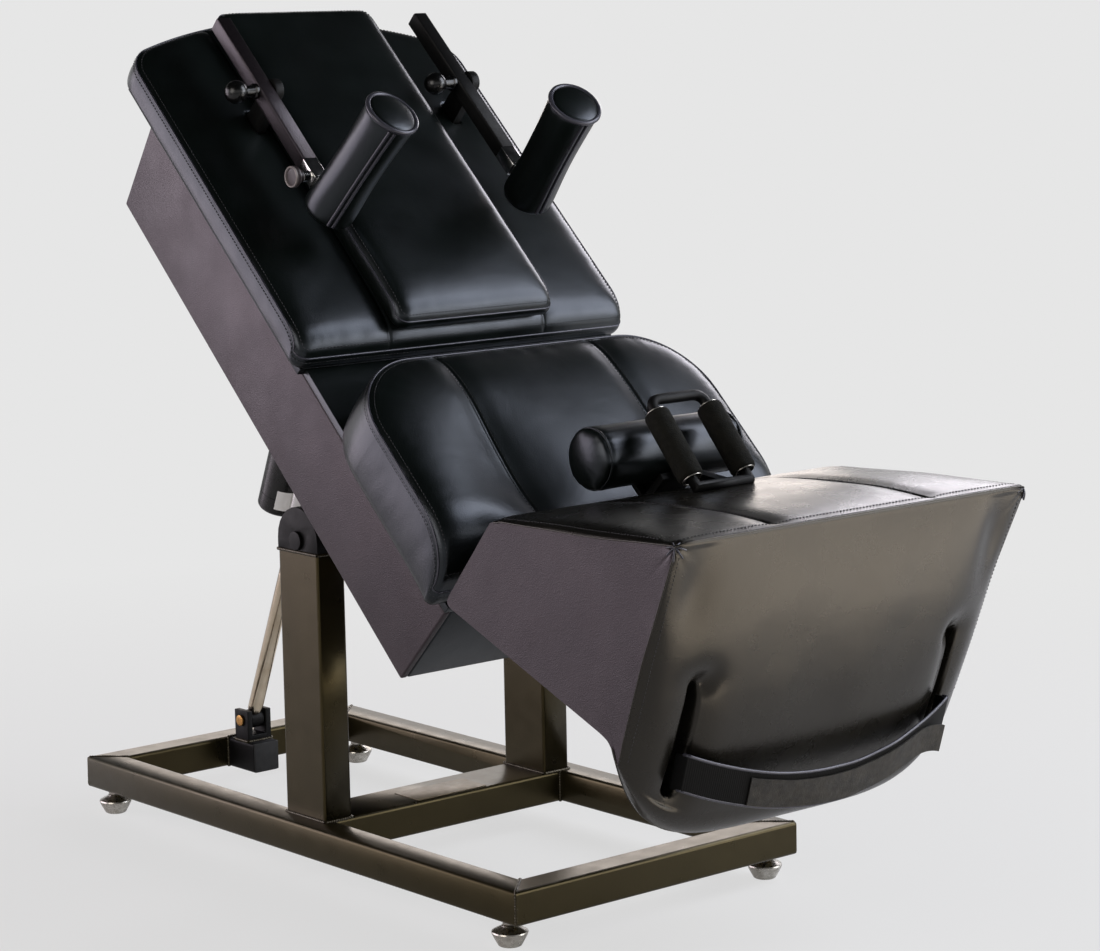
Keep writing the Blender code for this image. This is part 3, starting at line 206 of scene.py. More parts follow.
def tubes(name, lines, radius, kind, body, closed=False, roundness=3, smooth=60, merge=1e-6):
    # round tubes along lines of points; a fourth number swells the tube at its point
    shape = bpy.data.curves.new(name, "CURVE")
    shape.dimensions = "3D"
    shape.bevel_depth = radius
    shape.bevel_resolution = roundness
    shape.use_fill_caps = True
    for line in lines:
        spline = shape.splines.new("POLY")
        spline.points.add(len(line) - 1)
        spline.use_cyclic_u = closed
        for point, (x, y, z, *swell) in zip(spline.points, line):
            point.co = (x, y, z, 1)
            point.radius = swell[0] if swell else 1
    piece = bpy.data.objects.new(name, shape)
    bpy.context.scene.collection.objects.link(piece)
    only(piece)
    bpy.ops.object.convert(target="MESH")
    return completed(bpy.context.object, kind, body, smooth, merge)


def sheet(name, points, columns, thick, offset, kind, body):
    # a grid of points, row by row, given a thickness
    piece = newPiece(name, points, [], gridFaces(len(points) // columns, columns))
    closeUp(piece, 1e-6)
    wall = piece.modifiers.new("thickness", "SOLIDIFY")
    wall.thickness = thick
    wall.offset = offset
    applyAll(piece)
    return completed(piece, kind, body, 50)


def block(name, size, place, edge, turn=(0, 0, 0), segments=3):
    bpy.ops.object.select_all(action="DESELECT")
    bpy.ops.mesh.primitive_cube_add(size=1, location=place, rotation=turn)
    piece = bpy.context.object
    piece.name = piece.data.name = name
    piece.scale = size
    bpy.ops.object.transform_apply(location=True, rotation=True, scale=True)
    eased(piece, edge, segments, 40)
    return piece


thread = {
    "length": 0.0046, "thick": 0.0011, "pitch": 0.0062, "span": 0.001, "sides": 6,
    # share of the length, of the thickness and of the lift at each ring of one stitch
    "rings": [(-0.5, 0.35, -0.6), (-0.32, 0.9, 0.2), (0, 1.0, 0.45), (0.32, 0.9, 0.2), (0.5, 0.35, -0.6)],
}


def stitches(name, line, normals, closed=False):
    # short bars of thread, evenly spaced along a line, with their ends sunk in the vinyl
    line = np.asarray(line, float)
    normals = np.broadcast_to(np.asarray(normals, float), line.shape)
    if closed:
        line = np.vstack([line, line[:1]])
        normals = np.vstack([normals, normals[:1]])
    run = runAlong(line)
    count = max(int(run[-1] / thread["pitch"]), 2)
    at = (np.arange(count) + 0.5) * run[-1] / count
    ahead = placesAt(np.minimum(at + thread["span"], run[-1]), run, line)
    behind = placesAt(np.maximum(at - thread["span"], 0), run, line)
    sides = thread["sides"]
    points, faces = [], []
    for place, way, normal in zip(placesAt(at, run, line), ahead - behind, placesAt(at, run, normals)):
        way = Vector(way).normalized()
        normal = Vector(normal).normalized()
        across = way.cross(normal)
        start = len(points)
        for along, thick, lift in thread["rings"]:
            middle = Vector(place) + way * (along * thread["length"]) + normal * (lift * thread["thick"])
            for k in range(sides):
                angle = fullTurn * k / sides
                spoke = across * math.cos(angle) + normal * math.sin(angle)
                points.append(middle + spoke * (thread["thick"] / 2 * thick))
        for ring in range(start, len(points) - sides, sides):
            faces += ringFaces(range(ring, ring + sides), range(ring + sides, ring + 2 * sides))
        faces.append(tuple(reversed(range(start, start + sides))))
        faces.append(tuple(range(len(points) - sides, len(points))))
    return completed(newPiece(name, points, [], faces), "thread", "table", 70, 1e-7)


# Materials

def hexColour(code):
    parts = [int(code[i:i + 2], 16) / 255 for i in (1, 3, 5)]
    return tuple(p / 12.92 if p <= 0.04045 else ((p + 0.055) / 1.055) ** 2.4 for p in parts) + (1.0,)


def addNode(tree, kind, inputs=None, stops=(), **settings):
    # inputs are links or values; stops are the places and colours of a ramp
    made = tree.nodes.new(kind)
    for key, value in settings.items():
        setattr(made, key, value)
    for index, (place, code) in enumerate(stops):
        made.color_ramp.elements[index].position = place
        made.color_ramp.elements[index].color = hexColour(code)
    for key, value in (inputs or {}).items():
        if isinstance(value, bpy.types.NodeSocket):
            tree.links.new(value, made.inputs[key])
        else:
            made.inputs[key].default_value = value
    return made


def startMaterial(name):
    material = bpy.data.materials.new(name)
    material.use_nodes = True
    tree = material.node_tree
    where = addNode(tree, "ShaderNodeTexCoord").outputs["Object"]
    return material, tree, tree.nodes["Principled BSDF"], where


def mottled(tree, where, dark, light, size):
    # colour that drifts between two tones
    cloud = addNode(tree, "ShaderNodeTexNoise", {"Vector": where, "Scale": 1 / size, "Detail": 3.0})
    stops = [(0.32, dark), (0.68, light)]
    return addNode(tree, "ShaderNodeValToRGB", {"Fac": cloud.outputs["Fac"]}, stops).outputs["Color"]


def spreadOf(tree, where, low, high, size):
    # roughness that drifts between two values
    cloud = addNode(tree, "ShaderNodeTexNoise", {"Vector": where, "Scale": 1 / size, "Detail": 4.0})
    reach = {"Value": cloud.outputs["Fac"], "From Min": 0.3, "From Max": 0.7, "To Min": low, "To Max": high}
    return addNode(tree, "ShaderNodeMapRange", reach).outputs["Result"]


def grainBump(tree, where, layers):
    # each layer is (texture, size in metres, height in metres)
    normal = None
    for kind, size, height in layers:
        if kind == "cells":
            cells = addNode(tree, "ShaderNodeTexVoronoi", {"Vector": where, "Scale": 1 / size}, feature="F1")
            value = cells.outputs["Distance"]
        else:
            cloud = addNode(tree, "ShaderNodeTexNoise", {"Vector": where, "Scale": 1 / size, "Detail": 3.0})
            value = cloud.outputs["Fac"]
        inputs = {"Height": value, "Distance": height, "Strength": 1.0}
        if normal is not None:
            inputs["Normal"] = normal
        normal = addNode(tree, "ShaderNodeBump", inputs).outputs["Normal"]
    return normal


def plainFinish(name, dark, light, low, high, size, layers, metallic=0.0, ior=1.5, tint="#ffffff", patch=None):
    material, tree, surface, where = startMaterial(name)
    tree.links.new(mottled(tree, where, dark, light, size), surface.inputs["Base Color"])
    tree.links.new(spreadOf(tree, where, low, high, patch or size * 0.6), surface.inputs["Roughness"])
    if layers:
        tree.links.new(grainBump(tree, where, layers), surface.inputs["Normal"])
    surface.inputs["Metallic"].default_value = metallic
    surface.inputs["IOR"].default_value = ior
    surface.inputs["Specular Tint"].default_value = hexColour(tint)
    return material


def padVinyl(name, dark, light, low, high, grain, tint):
    # soft PVC on foam, embossed with a leather grain: black with a broad satin sheen.
    # The real grain is about 0.9 mm; it is drawn at 1.8 mm, so that it shows at this distance.
    layers = [("cloud", 0.050, 0.0006), ("cells", 0.0018, grain), ("cloud", 0.0009, grain * 0.6)]
    return plainFinish(name, dark, light, low, high, 0.090, layers, ior=1.47, tint=tint, patch=0.060)


def wovenBand(name, dark, light, rib):
    # nylon webbing, woven with ribs across its width: matt, with the ribs catching the light
    material, tree, surface, where = startMaterial(name)
    inputs = {"Vector": where, "Scale": 1 / rib / fullTurn, "Distortion": 0.6, "Detail": 1.0}
    ribs = addNode(tree, "ShaderNodeTexWave", inputs, bands_direction="X").outputs["Fac"]
    ramp = addNode(tree, "ShaderNodeValToRGB", {"Fac": ribs}, [(0.0, dark), (1.0, light)])
    tree.links.new(ramp.outputs["Color"], surface.inputs["Base Color"])
    bump = addNode(tree, "ShaderNodeBump", {"Height": ribs, "Distance": 0.0002, "Strength": 1.0})
    tree.links.new(bump.outputs["Normal"], surface.inputs["Normal"])
    surface.inputs["Roughness"].default_value = 0.55
    surface.inputs["IOR"].default_value = 1.20
    return material


# each finish: the slot of the record that it stands for, and its material
finishes = {
    # upholstery vinyl on the pads
    "vinyl": ("vinyl", padVinyl(
        "black_upholstery_vinyl", "#060907", "#0a0f0d", 0.28, 0.33, 0.00009, "#e9f1ff")),
    # the same vinyl pulled over the knee block, painted lighter and warmer: a painted warm reflection
    "kneeVinyl": ("vinyl", padVinyl(
        "black_upholstery_vinyl_knee_painted_reflection", "#0d0c0a", "#13120f", 0.25, 0.30, 0.00009, "#fff6e8")),
    # the posts' covers, stretched so tight that the grain is nearly flat
    "postVinyl": ("vinyl", padVinyl(
        "black_upholstery_vinyl_post", "#060907", "#0a0f0d", 0.28, 0.33, 0.00002, "#e9f1ff")),
    # the cord in the pads' seams, pulled tight; its grey, lighter than the pads' vinyl, is a painted highlight
    "piping": ("vinyl", padVinyl(
        "black_piping_vinyl", "#2b2b31", "#3a3a41", 0.20, 0.28, 0.00001, "#f4f3ff")),
    # heavier grained vinyl on the box and the knee block's cheeks: the heavier grain is its own, its lighter lilac
    # grey tone is painted light from the left
    "panel": ("panel_vinyl", padVinyl(
        "grained_panel_vinyl_painted_light", "#272124", "#30292c", 0.40, 0.50, 0.00024, "#f7ebf5")),
    # powder coat on steel tube: black with a brown cast and a slight orange peel
    "paint": ("frame_paint", plainFinish(
        "black_powder_coat", "#14120a", "#1c190f", 0.27, 0.35, 0.050, [("cloud", 0.0030, 0.00010)], tint="#ffe5a2")),
    # the same coat on small brackets, flatter and blacker; on the right arm rail this flat black is painted shade
    "darkPaint": ("frame_paint", plainFinish(
        "flat_black_coat_and_painted_shade", "#040404", "#070707", 0.48, 0.58, 0.030, [("cloud", 0.0030, 0.00010)], ior=1.28)),
    # textured powder coat of the left arm rail: the fine sandy speckle is its own, its lighter tone than the right
    # rail's coat is painted light
    "sandPaintPaintedLight": ("frame_paint", plainFinish(
        "sanded_powder_coat_painted_light", "#120f11", "#1f1a1d", 0.30, 0.38, 0.004, [("cells", 0.0020, 0.00030)], tint="#f7ebf5")),
    # weld beads under the same coat, shinier on their ripples
    "weld": ("frame_paint", plainFinish(
        "painted_weld_bead", "#15130c", "#2a261a", 0.16, 0.28, 0.006, [("cloud", 0.0012, 0.00020)], tint="#fff0d4")),
    # bright chrome plate with faint handling marks
    "chrome": ("chrome", plainFinish("chrome_plate", "#c9c8c6", "#dcdbd8", 0.08, 0.20, 0.020, [], 1.0)),
    # the ground and plated actuator rod, which looks creamy
    "rod": ("chrome", plainFinish(
        "hard_chrome_rod", "#c6b79f", "#d9ccb6", 0.14, 0.22, 0.030, [("cloud", 0.0020, 0.00002)], 1.0)),
    # zinc-plated steel, duller than chrome
    "zinc": ("zinc", plainFinish(
        "zinc_plated_steel", "#a8a49c", "#c6c3bc", 0.22, 0.36, 0.010, [("cloud", 0.0012, 0.00006)], 1.0)),
    # turned brass, warm and satin
    "brass": ("brass", plainFinish(
        "turned_brass", "#a77a45", "#c4975b", 0.24, 0.36, 0.008, [("cloud", 0.0010, 0.00005)], 1.0)),
    # moulded phenolic, glossy black
    "knob": ("black_plastic", plainFinish("black_phenolic", "#050505", "#0a0a0a", 0.20, 0.28, 0.012, [], ior=1.45)),
    # moulded ABS housing with a fine spark-eroded texture
    "housing": ("black_plastic", plainFinish(
        "black_abs", "#090909", "#101010", 0.22, 0.32, 0.020, [("cells", 0.0014, 0.00004)], ior=1.45)),
    # moulded acetal of the pop-pin knobs: a grey rim round a darker face
    "ring": ("black_plastic", plainFinish("grey_acetal", "#77706f", "#8d8583", 0.34, 0.46, 0.010, [])),
    "knobFace": ("black_plastic", plainFinish("dusky_acetal", "#2d2728", "#3c3435", 0.36, 0.48, 0.010, [])),
    # closed-cell foam sleeve: matt, with open skin pores
    "foam": ("foam", plainFinish(
        "nitrile_foam", "#0c0c08", "#14130d", 0.84, 0.96, 0.010,
        [("cells", 0.0022, 0.00040), ("cloud", 0.010, 0.0006)], ior=1.3)),
    # birch plywood of the frame in the box, pale and dull
    "plywood": ("plywood", plainFinish(
        "birch_plywood", "#8a6d4a", "#b08e64", 0.58, 0.72, 0.030, [("cloud", 0.0040, 0.00012)])),
    "webbing": ("webbing", wovenBand("nylon_webbing", "#040404", "#090909", 0.0016)),
    # the looped face of the strap's outer layer, a fuzzier browner black
    "hooks": ("webbing", plainFinish(
        "loop_tape", "#12100c", "#231f18", 0.62, 0.80, 0.014,
        [("cells", 0.0018, 0.00045), ("cloud", 0.016, 0.0016)])),
    # spun polyester sewing thread, a dull dark grey
    "thread": ("vinyl", plainFinish("polyester_thread", "#19191c", "#26262a", 0.50, 0.62, 0.004, [])),
    # matt white paper label, and a satin foil plate with a bronze cast
    "label": ("black_plastic", plainFinish("matt_paper_label", "#d8d8d6", "#e2e2e0", 0.55, 0.65, 0.020, [])),
    "plate": ("zinc", plainFinish(
        "satin_foil_plate", "#5b5242", "#6a604e", 0.36, 0.46, 0.020, [("cloud", 0.0016, 0.00004)], tint="#ffe9c4")),
    # moulded rubber of the tube's end plug, dull black
    "rubber": ("black_plastic", plainFinish(
        "black_rubber", "#0d0d0d", "#151515", 0.60, 0.74, 0.015, [("cloud", 0.0020, 0.00010)])),
}
print("materials made:", len(finishes))


# Camera, worked out from the frame's straight edges in the picture

view = {
    "at": (-2.974, -3.665, 1.326), "yaw": -39.87, "down": 8.08, "roll": -1.16,
    "focal": 3157.5, "centre": (541.1, 445.1), "image": (1100, 951), "sensor": 36, "farthest": 100,
}


def setCamera():
    yaw, down, roll = (math.radians(view[key]) for key in ("yaw", "down", "roll"))
    back = Vector((math.sin(yaw) * math.cos(down), -math.cos(yaw) * math.cos(down), math.sin(down)))
    right = Vector((math.cos(yaw), math.sin(yaw), 0))
    up = back.cross(right)
    across = math.cos(roll) * right + math.sin(roll) * up
    upright = -math.sin(roll) * right + math.cos(roll) * up
    turn = Matrix((across, upright, back)).transposed().to_4x4()
    turn.translation = Vector(view["at"])
    bpy.ops.object.camera_add()
    camera = bpy.context.object
    camera.name = "photo_camera"
    camera.matrix_world = turn
    width, height = view["image"]
    camera.data.sensor_fit = "HORIZONTAL"
    camera.data.sensor_width = view["sensor"]
    camera.data.lens = view["focal"] / width * view["sensor"]
    camera.data.shift_x = (width / 2 - view["centre"][0]) / width
    camera.data.shift_y = (view["centre"][1] - height / 2) / width
    camera.data.clip_end = view["farthest"]
    bpy.context.scene.camera = camera


studio = {
    "paper": "#e6e6e6", "floor": "#dedede", "ceiling": "#1d1e20", "wallTop": 0.18, "ceilingFrom": 0.46,
    "floorSize": 60, "floorGlow": 0.80, "fadeRound": (0, 0.2, 0), "fadeFrom": 0.9, "fadeTo": 2.6, "mirrorGlow": 0.22,
    "lamps": [
        # name, place, aim, size across and up, watts, colour
        ("left_softbox", (-3.4, -0.6, 2.0), (0, 0.1, 0.6), (2.0, 2.2), 40, "#fff8f2"),
        ("rear_left_softbox", (-2.7, 3.0, 1.2), (-0.3, 0.1, 0.7), (3.2, 2.4), 84, "#efe2ee"),
        ("front_softbox", (2.3, -3.0, 1.0), (0, -0.7, 0.45), (1.7, 1.9), 40, "#f2f3f5"),
        ("low_softbox", (0.75, -1.98, 0.03), (0.75, -1.96, 1.0), (2.2, 1.5), 28, "#fff3e2"),
        ("right_softbox", (2.1, -1.55, 2.3), (0, 0.0, 0.8), (1.7, 2.3), 80, "#ebeffa"),
        ("rear_strip", (1.90, 2.55, 1.05), (0.1, -0.6, 0.6), (2.0, 0.8), 14, "#fff2ea"),
        ("rear_right_softbox", (2.9, 1.2, 1.9), (0, 0.0, 0.7), (1.2, 1.2), 24, "#f2eef6"),
    ],
}


def emptyTree(owner):
    owner.use_nodes = True
    owner.node_tree.nodes.clear()
    return owner.node_tree


def setWorld():
    world = bpy.data.worlds.new("studio")
    bpy.context.scene.world = world
    tree = emptyTree(world)
    where = addNode(tree, "ShaderNodeTexCoord").outputs["Generated"]
    height = addNode(tree, "ShaderNodeSeparateXYZ", {"Vector": where}).outputs["Z"]
    stops = [(studio["wallTop"], studio["paper"]), (studio["ceilingFrom"], studio["ceiling"])]
    shade = addNode(tree, "ShaderNodeValToRGB", {"Fac": height}, stops)
    glow = addNode(tree, "ShaderNodeBackground", {"Color": shade.outputs["Color"], "Strength": 1.0})
    addNode(tree, "ShaderNodeOutputWorld", {"Surface": glow.outputs["Background"]})


def setFloor():
    bpy.ops.object.select_all(action="DESELECT")
    bpy.ops.mesh.primitive_plane_add(size=studio["floorSize"], location=(0, 0, 0))
    floor = bpy.context.object
    floor.name = "studio_floor"
    # matt paper that glows to the camera; mirrors see less of the glow
    material = bpy.data.materials.new("pale_paper_floor")
    tree = emptyTree(material)
    matt = addNode(tree, "ShaderNodeBsdfDiffuse", {"Color": hexColour(studio["floor"])})
    glow = addNode(tree, "ShaderNodeEmission", {"Color": hexColour(studio["paper"]), "Strength": 1.0})
    ray = addNode(tree, "ShaderNodeLightPath").outputs
    # the paper fades to one even tone away from the table, and near it keeps the shadow
    place = addNode(tree, "ShaderNodeNewGeometry").outputs["Position"]
    away = addNode(tree, "ShaderNodeVectorMath", {0: place, 1: studio["fadeRound"]}, operation="DISTANCE")
    fade = addNode(tree, "ShaderNodeMapRange", {
        "Value": away.outputs["Value"], "From Min": studio["fadeFrom"], "From Max": studio["fadeTo"],
        "To Min": studio["floorGlow"], "To Max": 1.0})
    clear = addNode(tree, "ShaderNodeMath", {
        0: ray["Is Camera Ray"], 1: ray["Is Transmission Ray"]}, operation="MAXIMUM")
    seen = addNode(tree, "ShaderNodeMath", {0: clear.outputs[0], 1: fade.outputs["Result"]}, operation="MULTIPLY")
    glint = addNode(tree, "ShaderNodeMath", {0: ray["Is Glossy Ray"], 1: studio["mirrorGlow"]}, operation="MULTIPLY")
    share = addNode(tree, "ShaderNodeMath", {0: seen.outputs[0], 1: glint.outputs[0]}, operation="MAXIMUM")
    mix = addNode(tree, "ShaderNodeMixShader", {"Fac": share.outputs[0], 1: matt.outputs[0], 2: glow.outputs[0]})
    addNode(tree, "ShaderNodeOutputMaterial", {"Surface": mix.outputs[0]})
    floor.data.materials.append(material)


def setLamps():
    for name, place, aim, size, watts, colour in studio["lamps"]:
        bpy.ops.object.light_add(type="AREA", location=place)
        lamp = bpy.context.object
        lamp.name = name
        lamp.data.shape = "RECTANGLE"
        lamp.data.size, lamp.data.size_y = size
        lamp.data.energy = watts
        lamp.data.color = hexColour(colour)[:3]
        lamp.visible_camera = False
        lamp.rotation_euler = (Vector(aim) - Vector(place)).to_track_quat("-Z", "Y").to_euler()


setCamera()
setWorld()
setFloor()
setLamps()
bpy.context.scene.view_settings.view_transform = "Standard"
print("camera and studio set")


# Rigid pieces keep the CAD shape and get eased edges and a finish

rigid = {
    # finish: first word of the piece's name, and how far each node's edges are eased
    "paint": ("painted", {
        "left_side_rail": 0.0, "right_side_rail": 0.0, "front_rail": 0.0, "rear_rail": 0.0, "cross_member": 0.0,
        "left_upright": 0.0, "right_upright": 0.0, "left_pivot_lug": 0.001, "right_pivot_lug": 0.001,
        "actuator_bracket": 0.001, "left_knee_arm": 0.001, "right_knee_arm": 0.001,
    }),
    "darkPaint": ("blacked", {
        "left_pivot_ear": 0.0012, "right_pivot_ear": 0.0012, "pivot_shaft": 0.0008, "actuator_stub": 0.0,
        "lower_clevis": 0.0012, "left_rail_bracket": 0.0012, "right_rail_bracket": 0.0012,
        # painted shade: the right arm rail, the same part as the left, takes the flat black coat
        "bolster_bracket": 0.0012, "grip_yoke": 0.0, "right_arm_rail": 0.0,
    }),
    # painted light: the left arm rail takes a lighter coat than the right one, which is the same part
    "sandPaintPaintedLight": ("coated", {"left_arm_rail": 0.0}),
    "brass": ("brass", {"lower_clevis_pin": 0.0008, "upper_clevis_pin": 0.0008}),
    "chrome": ("chromed", {
        "actuator_sleeve": 0.0008, "left_rail_collar": 0.0006, "right_rail_collar": 0.0006,
        "left_post_tube": 0.0, "right_post_tube": 0.0,
    }),
    "housing": ("moulded", {"actuator_gearbox": 0.0015}),
    # the box's panels: their lighter lilac grey tone is painted light
    "panel": ("covered", {
        "left_side_panel": 0.003, "right_side_panel": 0.003, "head_end_panel": 0.003, "underside_panel": 0.002,
    }),
    "vinyl": ("covered", {"foot_end_panel": 0.003, "seat_board": 0.001, "back_board": 0.001, "knee_board": 0.001}),
    "plywood": ("sawn", {"table_frame": 0.0008}),
}


def easedCopy(node, kind, word, edge):
    piece = ownCopy(nodes[node], word + "_" + node)
    editAll(piece)
    bpy.ops.mesh.remove_doubles(threshold=1e-5)
    if edge:
        bpy.ops.mesh.dissolve_limited(angle_limit=math.radians(0.5))
    bpy.ops.object.mode_set(mode="OBJECT")
    if edge:
        rounding = piece.modifiers.new("eased edges", "BEVEL")
        rounding.width = edge
        rounding.segments = 3
        rounding.limit_method = "ANGLE"
        rounding.angle_limit = math.radians(40)
        applyAll(piece)
    smoothOff(piece, 35)
    finish(piece, kind, nodes[node]["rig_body"])
    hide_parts(node)
    return piece


dressed = {node: easedCopy(node, kind, word, edge)
           for kind, (word, group) in rigid.items() for node, edge in group.items()}

# The floor frame's rails are mitred at its four corners
floorFrame = {
    "low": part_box("left_side_rail")[0], "high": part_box("right_side_rail")[1], "tube": 0.0508, "edge": 0.0015,
    # node, the corners at its ends, the way it runs
    "rails": [
        ("left_side_rail", ((-1, -1), (-1, 1)), "along"), ("right_side_rail", ((1, -1), (1, 1)), "along"),
        ("front_rail", ((-1, -1), (1, -1)), "across"), ("rear_rail", ((-1, 1), (1, 1)), "across"),
    ],
}


def floorCorner(sx, sy):
    return Vector((sx * floorFrame["high"].x, floorFrame["high" if sy > 0 else "low"].y, 0))


def mitred(node, ends, runs):
    # an end rail first grows out to the corners; each cut keeps the rail's own side of the mitre
    piece = dressed[node]
    editAll(piece)
    if runs == "across":
        grown = (floorFrame["high"].x - floorFrame["edge"]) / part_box(node)[1].x
        bpy.ops.transform.resize(value=(grown, 1, 1), center_override=(0, 0, 0))
    for sx, sy in ends:
        bpy.ops.mesh.select_all(action="SELECT")
        bpy.ops.mesh.bisect(plane_co=floorCorner(sx, sy), plane_no=(sx, -sy, 0), use_fill=True,
                            clear_inner=runs == "along", clear_outer=runs == "across")
    bpy.ops.object.mode_set(mode="OBJECT")
    closeUp(piece)
    smoothOff(piece, 35)


for node, ends, runs in floorFrame["rails"]:
    mitred(node, ends, runs)
print("rigid pieces dressed")


# Boxed pads: a sewn top panel, a band round its edge, piping in the seam

sewing = {
    "fineStep": 0.0015, "pullFrom": 0.004, "foldRun": 0.05, "smallFolds": 2.3, "smallFoldRun": 0.03,
    "unevenSize": 0.11, "creaseRun": 0.0028, "crumpleSize": 0.045, "fallBlend": 0.10, "stitchLift": 0.0003,
    "smallShare": 0.5, "bellyPower": 0.7, "tuckFrom": 0.9, "tuckRun": 0.1, "crumpleShare": 0.6, "lowBand": 0.02,
    "columnCrowd": 0.75, "rowCrowd": 0.6,
    "bandShares": (0.03, 0.08, 0.16, 0.28, 0.42, 0.56, 0.70, 0.82, 0.91, 0.97, 1.0),
    "seamSteps": (0.009, 0.006, 0.0035, 0.0018, 0),
}


def edgeSpread(count, crowd):
    even = np.linspace(-1, 1, count)
    return (1 - crowd) * even + crowd * np.sin(even * math.pi / 2)


def cornerDrop(x, half, radius):
    over = np.clip(np.abs(x) - (half - radius), 0, radius)
    return radius - np.sqrt(radius ** 2 - over ** 2)


def padFoot(pad, x):
    return pad["start"] + cornerDrop(x, pad["half"], pad["footCorner"])


def padHead(pad, x):
    arch = pad["arch"] * (1 - (x / pad["half"]) ** 2)
    return pad["end"] + arch - cornerDrop(x, pad["half"], pad["headCorner"])


def besideSeams(pad):
    return [sign * (seam + way * step) / pad["half"] for seam in pad["seams"] for sign in (-1, 1)
            for step in sewing["seamSteps"] for way in (-1, 1)]


def crownRise(pad, x, s, foot, head):
    # how far the top panel has risen from its seam: a roll at each edge, then a slow crown
    firm = soft = 1.0
    for edge, reach in (("side", pad["half"] - x), ("side", pad["half"] + x), ("foot", s - foot), ("head", head - s)):
        reach = np.maximum(reach, 0)
        firm = firm * (1 - np.exp(-reach / pad["rollRun"][edge]))
        soft = soft * (1 - np.exp(-reach / pad["softRun"]))
    return pad["roll"] * firm + (1 - pad["roll"]) * soft


def seamLevel(pad, x, s, foot):
    # the seam falls away where a pad rolls over at its foot
    near = np.clip(1 - (s - foot) / pad["fallRun"], 0, 1)
    side = np.clip((np.abs(x) - pad["fallFrom"]) / sewing["fallBlend"], 0, 1)
    return pad["seam"] - pad["fall"] * side * side * (3 - 2 * side) * (1 - np.sqrt(1 - near ** 2))


def topLevels(pad, xs, s, foot, head, ring):
    # height of the top panel at each point: crown, folds pulled in by the seam, seams and dents
    run = runAlong(ring)
    fineRun = np.arange(0, run[-1], sewing["fineStep"])
    fine = placesAt(fineRun, run, ring)
    step, size, seed = pad["puckerStep"], sewing["unevenSize"], pad["seed"]
    n = np.zeros(s.shape)
    for r in range(len(s)):
        x = xs[r]
        gap = np.linalg.norm(np.stack([x, s[r]], axis=1)[:, None, :] - fine[None, :, :], axis=2)
        inside = gap.min(axis=1)
        n[r] = seamLevel(pad, x, s[r], foot) + pad["crown"] * crownRise(pad, x, s[r], foot, head)
        for c, where in enumerate(fineRun[gap.argmin(axis=1)]):
            pull = math.exp(-inside[c] / pad["puckerRun"]) * (1 - math.exp(-inside[c] / sewing["pullFrom"]))
            fold = wave(where / step, inside[c] / sewing["foldRun"], seed)
            fold += sewing["smallShare"] * wave(
                where / step * sewing["smallFolds"], inside[c] / sewing["smallFoldRun"], seed + 7)
            n[r, c] += pad["pucker"] * pull * fold
            n[r, c] += pad["unevenness"] * wave(x[c] / size, s[r, c] / size, seed + 3)
        for seamX in pad["seams"]:
            away = np.abs(np.abs(x) - seamX)
            n[r] -= pad["seamDip"] * np.exp(-(away / pad["seamSpread"]) ** 2)
            n[r] -= pad["seamCrease"] * np.exp(-(away / sewing["creaseRun"]) ** 2)
        for dentX, dentS, depth, spread in pad["dents"]:
            n[r] -= depth * np.exp(-(np.hypot(x - dentX, s[r] - dentS) / spread) ** 2)
    # where another pad lies on this one it is pressed flat
    return np.where(np.abs(xs) < pad["flatTo"], np.minimum(n, pad["flatTop"]), n)


def bandOffsets(pad, run, level):
    # how far the band stands out at one level: a belly, a crumpled skin, a tuck at the foot
    bow = math.sin(math.pi * min(level * 1.02, 1)) if level < 0.98 else 0.0
    belly = pad["belly"] * bow ** sewing["bellyPower"]
    tuck = pad["tuck"] * max(0, (level - sewing["tuckFrom"]) / sewing["tuckRun"]) ** 2
    offsets = []
    for place in run[:-1]:
        crumple = wave(place / sewing["crumpleSize"], level * 2.2, pad["seed"] + 11)
        small = wave(place / pad["puckerStep"], level * 3.0, pad["seed"] + 17)
        crumple += sewing["crumpleShare"] * small * (1 - level)
        offsets.append(belly + pad["crumple"] * crumple * math.sin(math.pi * level) - tuck)
    return np.array(offsets)


